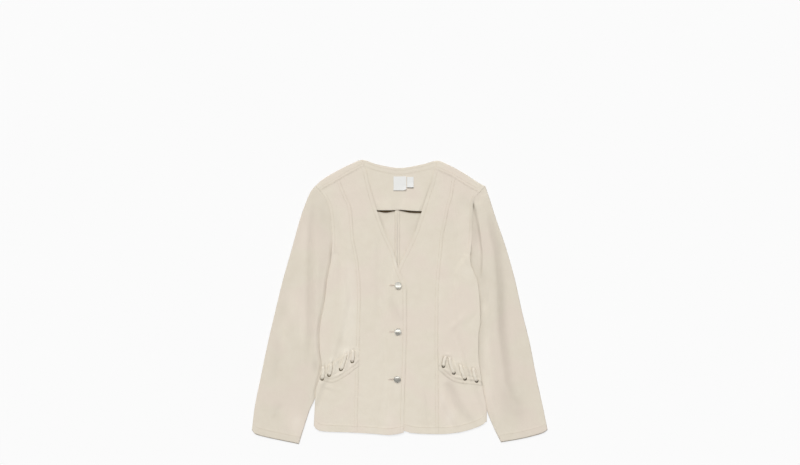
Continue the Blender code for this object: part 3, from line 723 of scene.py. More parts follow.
@dataclass(frozen=True)
class DenimFinish:
    """Undyed cotton twill, after washing. Lengths are in millimetres on the grain map."""

    name: str = "ecru_denim"
    pale: Colour = colour(229, 221, 206)
    deep: Colour = colour(224, 215, 199)
    rosy: Colour = colour(227, 215, 202)
    # shaded is the colour of painted shade, and also darkens the slubs and the twill's wales; the
    # colour after it is that of painted light.
    shaded: Colour = colour(78, 64, 46)
    washed: Colour = colour(252, 247, 236)
    wale: float = 0.85
    slant: float = 0.55
    yarn: float = 0.5
    relief: float = 0.00022

    def build(self) -> Material:
        """Make the twill, its slubs and its mottling, with painted shade and painted light on faces
        that point up.
        """
        graph = Graph(bpy.data.materials.new(self.name))
        u, v = (graph.part(graph.grain(), axis) for axis in (0, 1))
        wales, yarns = (u + v * self.slant).wave(self.wale), u.wave(self.yarn)
        long = graph.node("ShaderNodeCombineXYZ", {}, {0: u * 1.6, 1: v * 0.12, 2: 0.0})
        slubs = graph.noise(long, 1.0, 3.0)
        mottle, clouds = (graph.noise(graph.place(), *size) for size in ((55.0, 3.0), (11.0, 1.0)))
        tone = (mottle * 0.55 + clouds * 0.45).above(0.3, 0.7)
        base = graph.blend(tone, self.deep, self.pale)
        base = graph.blend(clouds.above(0.46, 0.62) * 0.7, base, self.rosy)
        base = graph.blend(slubs.above(0.66, 0.8) * 0.05, base, self.shaded)
        base = graph.blend((1.0 - wales) * 0.035, base, self.shaded)
        # Painted shade from the shade attribute, towards the shaded colour, and painted light below
        # zero, towards the paler colour; only on faces that point up.
        facing = graph.node("ShaderNodeNewGeometry", {}, {}, "Normal")
        shade = graph.shade() * graph.part(facing, 2).above(-0.5, -0.1)
        base = graph.blend(shade, base, self.shaded)
        base = graph.blend(shade * -1.0, base, self.washed)
        height = wales * 0.6 + yarns * 0.2 + slubs * 0.5
        normal = graph.bump(height, 0.35, self.relief)
        return graph.finish(
            Base_Color=base, Roughness=0.88, Normal=normal, Specular_IOR_Level=0.25
        )


@dataclass(frozen=True)
class ThreadFinish:
    """Cotton topstitching thread in the colour of the cloth."""

    name: str = "ecru_thread"
    pale: Colour = colour(226, 215, 197)
    deep: Colour = colour(206, 193, 172)

    def build(self) -> Material:
        """Make the thread, with a fine twist."""
        graph = Graph(bpy.data.materials.new(self.name))
        twist = graph.noise(graph.place(), 1800.0, 1.0)
        base = graph.blend(twist.above(0.35, 0.65), self.deep, self.pale)
        return graph.finish(Base_Color=base, Roughness=0.7, Normal=graph.bump(twist, 0.3, 0.0001))


@dataclass(frozen=True)
class TapeFinish:
    """Woven label tape, off white, with fine ribs across it, in millimetres."""

    name: str = "label_tape"
    pale: Colour = colour(240, 240, 238)
    deep: Colour = colour(222, 222, 219)
    rib: float = 0.6

    def build(self) -> Material:
        """Make the tape."""
        graph = Graph(bpy.data.materials.new(self.name))
        ribs = graph.part(graph.grain(), 1).wave(self.rib)
        tone = (ribs * 0.5 + graph.noise(graph.place(), 900.0, 2.0) * 0.5).above(0.2, 0.8)
        base = graph.blend(tone, self.deep, self.pale)
        return graph.finish(Base_Color=base, Roughness=0.5, Normal=graph.bump(ribs, 0.3, 0.0001))


@dataclass(frozen=True)
class MetalFinish:
    """Cast metal trim. Painted shade makes it darker and less metallic where the piece's shade
    attribute says so.
    """

    name: str
    bright: Colour
    dull: Colour
    dark: Colour
    roughness: float

    def build(self) -> Material:
        """Make the metal, with fine scratches and an aged tone."""
        graph = Graph(bpy.data.materials.new(self.name))
        age, grit = graph.noise(graph.place(), 260.0, 3.0), graph.noise(graph.place(), 2200.0, 2.0)
        base = graph.blend(age.above(0.35, 0.65), self.dull, self.bright)
        shade = graph.shade()
        return graph.finish(
            Base_Color=graph.blend(shade, base, self.dark),
            Roughness=age * 0.15 + self.roughness,
            Metallic=1.0 - shade * 0.7,
            Normal=graph.bump(grit, 0.25, 0.00006),
        )


@dataclass(frozen=True)
class FloorFinish:
    """A plain pale matte floor, which the camera sees nearly plain white, with faint shadows."""

    name: str = "pale_floor"
    pale: Colour = colour(243, 243, 243)
    deep: Colour = colour(240, 240, 240)
    plain: float = 0.7

    def build(self) -> Material:
        """Make the floor."""
        graph = Graph(bpy.data.materials.new(self.name))
        base = graph.blend(graph.noise(graph.place(), 3.0, 2.0), self.deep, self.pale)
        white = graph.node("ShaderNodeEmission", {}, {"Color": WHITE})
        lit = graph.first("Principled BSDF")
        graph.last("Material Output", graph.mix(graph.ray("Camera") * self.plain, lit, white))
        return graph.finish(Base_Color=base, Roughness=0.9, Specular_IOR_Level=0.1)


class Wardrobe:
    """The jacket's finishes, each made once."""

    def __init__(self) -> None:
        """Make them."""
        self.denim = DenimFinish().build()
        self.thread = ThreadFinish().build()
        self.binding = ThreadFinish(
            "buttonhole_thread", colour(224, 213, 199), colour(209, 197, 182)
        ).build()
        self.tape = TapeFinish().build()
        # The last colour of each metal is its painted shade: under the buttons' rims, and on the
        # eyelets and in their holes.
        self.silver = MetalFinish(
            "silver_metal", colour(238, 236, 228), colour(220, 217, 206), colour(120, 114, 98), 0.16
        ).build()
        self.bronze = MetalFinish(
            "aged_bronze", colour(156, 145, 122), colour(120, 109, 88), colour(38, 32, 24), 0.35
        ).build()


def circle(count: int) -> Field:
    """Return equal angles once round."""
    return np.linspace(0.0, 2.0 * math.pi, count, endpoint=False)


def show(name: str, data: bpy.types.ID) -> Piece:
    """Put an object with some data in the scene."""
    item = bpy.data.objects.new(name, data)
    bpy.context.scene.collection.objects.link(item)
    return item


def smooth_mesh(name: str, points: Field, faces: list[list[int]]) -> bpy.types.Mesh:
    """Make a smooth mesh of points in millimetres."""
    mesh = bpy.data.meshes.new(name)
    mesh.from_pydata((points.reshape(-1, 3) * MM).tolist(), [], faces)
    mesh.polygons.foreach_set("use_smooth", np.ones(len(faces), dtype=bool))
    return mesh


def place(mesh: bpy.types.Mesh, material: Material) -> Piece:
    """Put a mesh in the scene as a piece of the jacket, in a finish."""
    mesh.materials.append(material)
    piece = show(mesh.name, mesh)
    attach(piece, BODY)
    return piece


def dress(piece: Piece, slot: str, *nodes: str) -> Piece:
    """Hide the solids that a piece stands for."""
    if nodes:
        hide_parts(*nodes)
    return piece


@dataclass
class Surface:
    """A grid of points, in rows and columns, that becomes one smooth mesh."""

    name: str
    points: Field
    grain: Field | None = None
    shade: Field | None = None
    wrap: bool = False
    caps: bool = False

    def build(self, material: Material) -> Piece:
        """Make the mesh, its grain map and its shade attribute of painted light and shade, and put
        it in the scene.

        Each cell of the grid is a face. Where the grid wraps round, its last cells end on its
        first column of points, and the grain map has one column more than the points.

        Args:
            material: the finish.

        Returns:
            The new object, riding on the jacket.
        """
        rows, columns, _ = self.points.shape
        wide = columns + int(self.wrap)
        index = np.arange(rows)[:, None] * wide + np.arange(wide)[None, :]
        corners = np.stack((index[:-1, :-1], index[:-1, 1:], index[1:, 1:], index[1:, :-1]), -1)
        corners = corners.reshape(-1, 4)
        faces = (corners // wide * columns + corners % wide % columns).tolist()
        if self.caps:
            ring = np.arange(columns)
            faces += [ring[::-1].tolist(), (ring + (rows - 1) * columns).tolist()]
        mesh = smooth_mesh(self.name, self.points, faces)
        if self.grain is not None:
            loops = np.zeros(len(mesh.loops), dtype=int)
            loops[: corners.size] = corners.ravel()
            layer = mesh.uv_layers.new(name="grain")
            layer.data.foreach_set("uv", self.grain.reshape(-1, 2)[loops].ravel())
        if self.shade is not None:
            values = mesh.attributes.new("shade", "FLOAT", "POINT")
            values.data.foreach_set("value", np.clip(self.shade, -1.0, 1.0).ravel())
        return place(mesh, material)

    def area(self) -> float:
        """Return the surface's area in square metres, from the cross products of its cells."""
        grid = self.points
        if self.wrap:
            grid = np.concatenate((grid, grid[:, :1]), axis=1)
        one = np.cross(grid[1:, 1:] - grid[:-1, :-1], grid[:-1, 1:] - grid[1:, :-1])
        return float(np.linalg.norm(one, axis=2).sum() / 2) * MM * MM


def join(name: str, parts: Sequence[Surface], material: Material) -> Piece:
    """Make several small surfaces into one mesh.

    Args:
        name: the piece's name.
        parts: the surfaces.
        material: the finish.

    Returns:
        The new object.
    """
    made = [part.build(material) for part in parts]
    spare = [item.data for item in made[1:]]
    with bpy.context.temp_override(
        active_object=made[0], selected_editable_objects=made, selected_objects=made
    ):
        bpy.ops.object.join()
    for mesh in spare:
        if mesh.users == 0:
            bpy.data.meshes.remove(mesh)
    made[0].name = made[0].data.name = name
    return made[0]


def cloth(
    surface: Surface,
    material: Material,
    nodes: Sequence[str] = (),
    slot: str = "denim",
    wall: float = WALL,
) -> Piece:
    """Make a sheet of cloth: a surface with a wall under it.

    Scaled up where that holds too little area.

    Args:
        surface: the upper face.
        material: the finish.
        nodes: the solids that it stands for, when its name without its last word isn't the one.
        slot: its material slot. Not used.
        wall: its thickness.

    Returns:
        The new object.
    """
    piece = surface.build(material)
    thick = piece.modifiers.new("wall", "SOLIDIFY")
    thick.thickness = wall * MM
    thick.offset = -1.0
    dress(piece, slot, *(nodes or (surface.name.rsplit("_", 1)[0],)))
    area = surface.area()
    return piece


def turned(side: Side, values: Field) -> Field:
    """Turn the columns of a grid round on the right, so that its faces point up on both sides."""
    return values if side is Side.LEFT else values[:, ::-1]


def grain_of(points: Field, angle: float = 0.0) -> Field:
    """Return places across and along the grain, in millimetres, turned by an angle."""
    x, y = points[..., 0], points[..., 1]
    c, s = math.cos(angle), math.sin(angle)
    return np.stack((x * c + y * s, y * c - x * s), axis=-1)


@dataclass(frozen=True)
class Pull:
    """What a strap does to the cloth round it, as bells beside it and along it.

    The reach is where along the strap the rows rise and end. A row is (size, place beside the
    strap, width), and a spot is (size, place beside it, width, share of its length, length).
    """

    reach: tuple[float, float, float, float]
    rows: tuple[tuple[float, float, float], ...]
    spots: tuple[tuple[float, float, float, float, float], ...]

    def at(self, side: Side, out: Field, height: Field) -> Field:
        """Add up the rows and the spots of every strap on one half."""
        made = np.zeros(np.shape(out))
        for lacing in LACINGS[side]:
            beside, share = lacing.beside(out, height)
            reach = fade(*self.reach[:2], share) * fade(*self.reach[2:], share)
            for size, middle, width in self.rows:
                made = made + size * reach * bell(beside - middle, width)
            for size, middle, width, along, length in self.spots:
                made = made + size * bell(beside - middle, width) * bell(share - along, length)
        return made


FURROWS = Pull(
    (-0.25, 0.05, 1.3, 0.95),
    ((-1.5, -4.1, 1.5), (-0.7, 4.3, 1.6), (0.9, -9.0, 3.4)),
    ((1.7, 0.5, 4.6, 1.04, 0.13), (0.9, -1.0, 4.5, -0.3, 0.12)),
)
# Painted shade in the furrows beside each strap, and a painted shadow at its top.
FURROW_SHADE = Pull(
    (-0.2, 0.1, 1.15, 0.9), ((0.16, -4.1, 1.1), (0.04, 4.2, 1.3)), ((0.12, -2.8, 1.5, 0.88, 0.08),)
)


@dataclass
class Body:
    """The levels of the body's cloth on one half: the back, and the fronts over it."""

    side: Side
    gather_rise: float = 1.2
    gather_size: float = 5.2
    gather_seed: int = 31
    dip_depth: float = 1.5
    clearance: float = 0.2

    def sleeve_inner(self, height: Field) -> Field:
        """Return the inner edge of the sleeve: the armhole, then the fold under the body."""
        return SIDE_LINE.at(self.side, height) - SLEEVE_TUCK.at(self.side, height)

    def crossing(self, height: Field) -> Field:
        """Return 1 where the body lies over the sleeve, and 0 well above the underarm."""
        return 1.0 - fade(UNDERARM, UNDERARM + CROSSING_FADE, height)

    def lift(self, out: Field, height: Field) -> Field:
        """Return how far the sleeve under the back lifts it."""
        inner = self.sleeve_inner(height)
        ramp = fade(0.0, 1.0, (out - inner + SIDE_RAMP) / (SIDE_RAMP - 2 * SEAM))
        return (SLEEVE_PRESSED + SEAM) * ramp * self.crossing(height)

    def base(self, out: Field, height: Field) -> Field:
        """Return the upper face of the fronts with no creases. The right one laps over."""
        top = FRONT_TOP + SIDE_SHARE * self.lift(out, height)
        if self.side is Side.RIGHT:
            edge = LAP_MARGIN - FRONT_EDGE.at(Side.LEFT, height)
            top = top + OVERLAP_RISE * (1.0 - fade(0.0, 1.0, (out - edge) / LAP_RAMP))
        return top

    def creases(self, out: Field, height: Field) -> Field:
        """Return the folds, the crumple and the gathers of the fronts."""
        x = self.side.sign * out
        made = sum(fold.relief(x, height) for fold in BODY_FOLDS)
        return made + crumple(x, height, BODY_CRUMPLE) + self.gathers(out, height)

    def gather(self, out: Field, above: Field) -> Field:
        """Return the random gathers, which run up from the pocket mouth, leaning inwards."""
        return ripple(out + 0.25 * above, above * 0.12, self.gather_size, self.gather_seed)

    def gathers(self, out: Field, height: Field) -> Field:
        """Return the gathers round the pocket mouth, with the furrows beside the straps."""
        above = height - POCKET_MOUTH.at(self.side, out)
        near = bell(np.where(above > 0.0, above / 20.0, above / 26.0), 1.0) * fade(90.0, 104.0, out)
        made = near * self.gather_rise * self.gather(out, above)
        return made + FURROWS.at(self.side, out, height)

    def washed(self, out: Field, height: Field) -> Field:
        """Return the painted shade of the cloth's patches, below 0 where they are painted light."""
        return sum(painted_patch.shade(self.side.sign * out, height) for painted_patch in BODY_PAINTED_PATCHES)

    def fold_shade(self, out: Field, height: Field) -> Field:
        """Return the painted shade in the cloth's troughs, with its patches of painted light and
        shade.
        """
        troughs = sum(fold.shade(self.side.sign * out, height) for fold in BODY_FOLDS)
        return troughs + self.washed(out, height)

    def dip(self, out: Field, height: Field) -> Field:
        """Return how far the cloth is pressed down under the pocket band."""
        side = self.side
        low, high = POCKET_LINE.at(side, out), POCKET_MOUTH.at(side, out)
        inner = fade(-0.2, 1.4, out - PRINCESS_SEAM.at(side, height))
        inner = inner * fade(-0.5, 3.0, SIDE_LINE.at(side, height) - SIDE_FOLD - out)
        band = fade(0.0, 3.0, height - low) * fade(1.0, 9.0, high - height)
        return self.dip_depth * inner * band

    def floor(self, out: Field, height: Field) -> Field:
        """Return the lowest upper face that clears the back, or the back on the sleeve."""
        return 2 * WALL + self.clearance + self.lift(out, height)

    def top(self, out: Field, height: Field) -> Field:
        """Return the upper face of the fronts, with creases but no seams, clear of the back."""
        return above(self.floor(out, height), self.base(out, height) + self.creases(out, height))


# Places along the body's edge, as (height, reach), where painted shade on the sleeve beside it is
# stronger.
PRESSED_EDGE = {
    Side.RIGHT: ((34.0, 32.0), (-118.0, 24.0), (118.0, 18.0)),
    Side.LEFT: ((-15.0, 28.0), (-101.0, 20.0), (104.0, 22.0)),
}
UNDERARM_CREASE = Line((
    (240, 170.5, 170.5), (232, 172.5, 172.5), (225.6, 174, 174), (202, 179.2, 179.2),
    (188, 182, 182), (169, 185.5, 185.5), (134, 190, 190), (117.5, 191.8, 191.8),
    (80, 191.5, 191.5), (50, 187, 187),
))


@dataclass
class Panel:
    """A panel of cloth on one half of the jacket, with its own relief and painted shade."""

    body: Body

    @property
    def side(self) -> Side:
        """Return the half that the panel is on."""
        return self.body.side

    def princess(self, out: Field, height: Field) -> Seams:
        """Return the princess seam. Its allowance lies towards the wearer's right."""
        away = PRINCESS_SEAM.gap(self.side, out, height)
        felled = (away * self.side.sign < 0).astype(float)
        distance = np.abs(away)
        return ((FELL, distance, height, felled), (SINGLE, distance, height, 1.0 - felled))

    def hem(self, out: Field, height: Field) -> Seams:
        """Return the hem."""
        return ((HEM, HEM_LINE.gap(self.side, height, out), out, 1.0),)

    def shoulder_seam(self, out: Field, height: Field) -> Seams:
        """Return the shoulder seam, from below."""
        return ((SINGLE, -SHOULDER_SEAM.gap(self.side, height, out), out, 1.0),)

    def make(
        self,
        node: str,
        finishes: Wardrobe,
        out: Field,
        height: Field,
        under: Sequence[str],
        angle: float = 0.0,
    ) -> Piece:
        """Make the panel on a grid.

        Args:
            node: its solid's name without the half.
            finishes: the finishes.
            out: places out from the centre line.
            height: places along the jacket.
            under: what it lies on. Not used.
            angle: how far its grain leans outwards at its top, in radians.

        Returns:
            The new object.
        """
        side = self.side
        points = turned(side, np.stack((side.sign * out, height, self.top(out, height)), axis=-1))
        shade = turned(side, self.shade(out, height))
        grain = grain_of(points, -side.sign * angle)
        surface = Surface(f"{node}_{side.word}_cloth", points, grain, shade)
        return cloth(surface, finishes.denim)


@dataclass
class CentreFront(Panel):
    """A centre front, from the V neck and the button edge to the princess seam."""

    # Share of painted shadow on the left front under the right front's edge.
    lap_shade: float = 0.12

    def seams(self, out: Field, height: Field) -> Seams:
        """Return the panel's seams."""
        edge = (EDGE, FRONT_EDGE.gap(self.side, out, height), height, 1.0)
        ends = (*self.hem(out, height), *self.shoulder_seam(out, height))
        return (edge, *self.princess(out, height), *ends)

    def top(self, out: Field, height: Field) -> Field:
        """Return the finished upper face."""
        return self.body.top(out, height) + seam_relief(self.seams(out, height))

    def shade(self, out: Field, height: Field) -> Field:
        """Return the painted shade along its seams and in its folds, and the painted shadow under
        the lap.
        """
        dark = seam_shade(self.seams(out, height)) + self.body.fold_shade(out, height)
        if self.side is Side.LEFT:
            lap = FRONT_EDGE.gap(Side.RIGHT, -out, height)
            dark = dark + self.lap_shade * bell(lap + 0.8, 1.3) * (0.25 + bell(height - 2.0, 24.0))
        return dark

    def build(self, finishes: Wardrobe) -> Piece:
        """Make the panel."""
        side = self.side
        out, height = settle(
            HEM_LINE.on(side),
            SHOULDER_SEAM.on(side, -HALF_SEAM),
            FRONT_EDGE.on(side),
            PRINCESS_SEAM.on(side, -HALF_SEAM),
            spaces(30, MARGIN, MARGIN),
            spaces(235, HEM_MARGIN, MARGIN[:8]),
        )
        piece = self.make("front_centre", finishes, out, height, BACKS)
        if side is Side.RIGHT:
            self.cut_buttonholes(piece)
        return piece

    def cut_buttonholes(self, piece: Piece) -> None:
        """Cut a slot, a flat capsule of the slit's length and width, at each button."""
        turns = circle(24)
        half, wide = Buttonholes.length / 2, Buttonholes.slit / 2
        for number, (x, y) in enumerate(BUTTONS, start=1):
            across = x - half + np.sign(np.cos(turns)) * (half - wide) + wide * np.cos(turns)
            along = y + wide * np.sin(turns)
            rings = [np.stack((across, along, np.full(24, level)), axis=1) for level in (1.0, 12.0)]
            cutter = Surface(f"slot_{number}", np.stack(rings), None, None, True, True)
            item = cutter.build(piece.data.materials[0])
            hole = piece.modifiers.new(f"slot_{number}", "BOOLEAN")
            hole.operation = "DIFFERENCE"
            hole.solver = "EXACT"
            hole.object = item
            bpy.context.view_layer.update()
            bake(piece)
            bpy.data.objects.remove(item, do_unlink=True)


def bake(piece: Piece) -> None:
    """Apply a piece's modifiers to its mesh."""
    depsgraph = bpy.context.evaluated_depsgraph_get()
    mesh = bpy.data.meshes.new_from_object(piece.evaluated_get(depsgraph))
    old = piece.data
    name = old.name
    piece.modifiers.clear()
    piece.data = mesh
    bpy.data.meshes.remove(old)
    mesh.name = name


@dataclass
class SideFront(Panel):
    """A side panel, above or below the pocket, from the princess seam round the fold."""

    upper: bool
    # Shares of painted shade under the pocket band's edge and beside the armhole.
    under_band: float = 0.22
    armhole_shade: float = 0.08

    def edge(self, height: Field) -> Field:
        """Return the outer edge."""
        return SIDE_LINE.at(self.side, height) - HALF_SEAM

    def seams(self, out: Field, height: Field) -> Seams:
        """Return the panel's seams."""
        made = self.princess(out, height)
        if not self.upper:
            return (*made, *self.hem(out, height))
        share = fade(UNDERARM - 4.0, UNDERARM + 8.0, height)
        armhole = (ARMHOLE, -SIDE_LINE.gap(self.side, out, height), height, share)
        return (*made, armhole, *self.shoulder_seam(out, height))

    def top(self, out: Field, height: Field) -> Field:
        """Return the finished upper face, turned down round the fold below the underarm."""
        body, edge = self.body, self.edge(height)
        start = edge - SIDE_FOLD
        made = body.top(np.minimum(out, start), height) + seam_relief(self.seams(out, height))
        made = np.maximum(made - body.dip(out, height), body.floor(out, height) - 0.1)
        drop = body.top(start, height) - WALL - body.lift(edge, height) - FOLD_GAP
        drop = drop * fade(UNDERARM + 6, UNDERARM - 3, height)
        return made - drop * rounded((out - start) / SIDE_FOLD)

    def shade(self, out: Field, height: Field) -> Field:
        """Return the painted shade along its seams, in its folds and round the pocket."""
        dark = seam_shade(self.seams(out, height)) + self.body.fold_shade(out, height)
        if not self.upper:
            below = np.maximum(-POCKET_LINE.gap(self.side, height, out), 0.0)
            return dark + self.under_band * bell(below, 1.0)
        if self.side is Side.LEFT:
            inside = -SIDE_LINE.gap(Side.LEFT, out, height)
            window = fade(150.0, 175.0, height) * fade(262.0, 240.0, height)
            dark = dark + self.armhole_shade * fade(8.0, 1.0, inside) * window
        return dark + FURROW_SHADE.at(self.side, out, height)

    def build(self, finishes: Wardrobe) -> Piece:
        """Make the panel."""
        side = self.side
        if self.upper:
            node, low = "front_side", POCKET_LINE.on(side, POCKET_LAP + HALF_SEAM)
            high, along = SHOULDER_SEAM.on(side, -HALF_SEAM), spaces(190, (0.0,), MARGIN[:8])
        else:
            node, low = "pocket_front", HEM_LINE.on(side)
            high = POCKET_LINE.on(side, POCKET_LAP - HALF_SEAM)
            along = spaces(60, HEM_MARGIN, (0.0,))
        turn = tuple(SIDE_FOLD * (1.0 - math.cos(math.radians(a))) for a in range(0, 91, 15))
        after = (*turn, *(SIDE_FOLD + item for item in (0.8, 1.8, 3.0, 4.4, 6.0, 8.0, 10.5)))
        inner = PRINCESS_SEAM.on(side, HALF_SEAM)
        out, height = settle(low, high, inner, self.edge, spaces(26, MARGIN, after), along)
        return self.make(node, finishes, out, height, [f"back_{side.word}_cloth"])


@dataclass
class Back(Panel):
    """One half of the back, from the centre-back seam to the side."""

    band: tuple[float, float] = (-11.4, -0.6)
    clear: float = FACING_LOW - 2.0
    allowance: float = 0.8
    ditch: float = 0.7
    row_ditch: float = 0.25
    # Shares of painted shade in the centre-back seam, its rows and beside the V, and of painted
    # shadow under the facing.
    ditch_shade: float = 0.16
    row_shade: float = 0.10
    edge_shade: float = 0.08
    gap_shade: float = 0.8

    def top(self, out: Field, height: Field) -> Field:
        """Return the upper face: its creases lie inside the V neck, under the facing it is flat."""
        x = self.side.sign * out
        low, high = self.band
        inside = fade(self.clear, self.clear - 10.0, height)
        creased = 0.5 + crumple(x, height, BACK_CRUMPLE)
        allowance = self.allowance * fade(low - 0.8, low, x) * fade(high + 0.8, high, x)
        seam = self.ditch * bell(x + BACK_SEAM, 1.0)
        rows = self.row_ditch * (bell(x - low - 1.2, 0.7) + bell(x - high + 1.2, 0.7))
        made = np.maximum(inside * (creased + allowance - seam * inside - rows), 0.0)
        lift = self.body.lift(out, height)
        return WALL + lift + made * (lift < 0.01)

    def shade(self, out: Field, height: Field) -> Field:
        """Return the painted shade at its seam and beside the V, and the painted shadow under the
        loose facing.
        """
        x = self.side.sign * out
        rows = bell(x - self.band[0], 1.0) + bell(x - self.band[1], 1.0)
        dark = self.ditch_shade * bell(x + BACK_SEAM, 0.9) + BACK_PAINTED_SHADE.shade(x, height)
        dark = dark + self.row_shade * rows * (height < FACING_LOW)
        edge = FRONT_EDGE.at(self.side, height) - out
        dark = dark + self.edge_shade * bell(edge - 2.0, 4.0) * bell(height - 186.0, 20.0)
        gap, below = Facing().gap(x), Facing().low(x) - height
        open_part = fade(-6.0, -4.0, below) * (gap > 0.1)
        soft = 0.22 * fade(gap + 5.5, gap - 0.5, below) + 0.05 * fade(gap + 26.0, gap, below)
        return dark + (self.gap_shade * fade(gap + 1.2, gap - 0.8, below) + soft) * open_part

    def build(self, finishes: Wardrobe) -> Piece:
        """Make the panel."""
        side = self.side
        seam = -side.sign * BACK_SEAM + 0.05
        near = (0.0, 0.4, 0.9, 1.5, 2.3, 3.2, 4.1, 4.7, 5.2, 5.8, 6.6, 8.0, *range(9, 64, 1))
        below = (0.0, 0.5, 1.2, 2.5, *range(6, 90, 4), *np.arange(90.0, 118.0, 0.6))
        out, height = settle(
            HEM_LINE.on(side, 1.5),
            BACK_TOP.on(side),
            lambda place: seam + 0.0 * place,
            lambda place: SIDE_LINE.at(side, place) - np.where(place < UNDERARM - 1.0, 1.8, 0.17),
            spaces(36, near, (0.0, 1.0, 3.0)),
            spaces(190, (0.0, 1.0, 3.0), below),
        )
        return self.make("back", finishes, out, height, ["floor"])


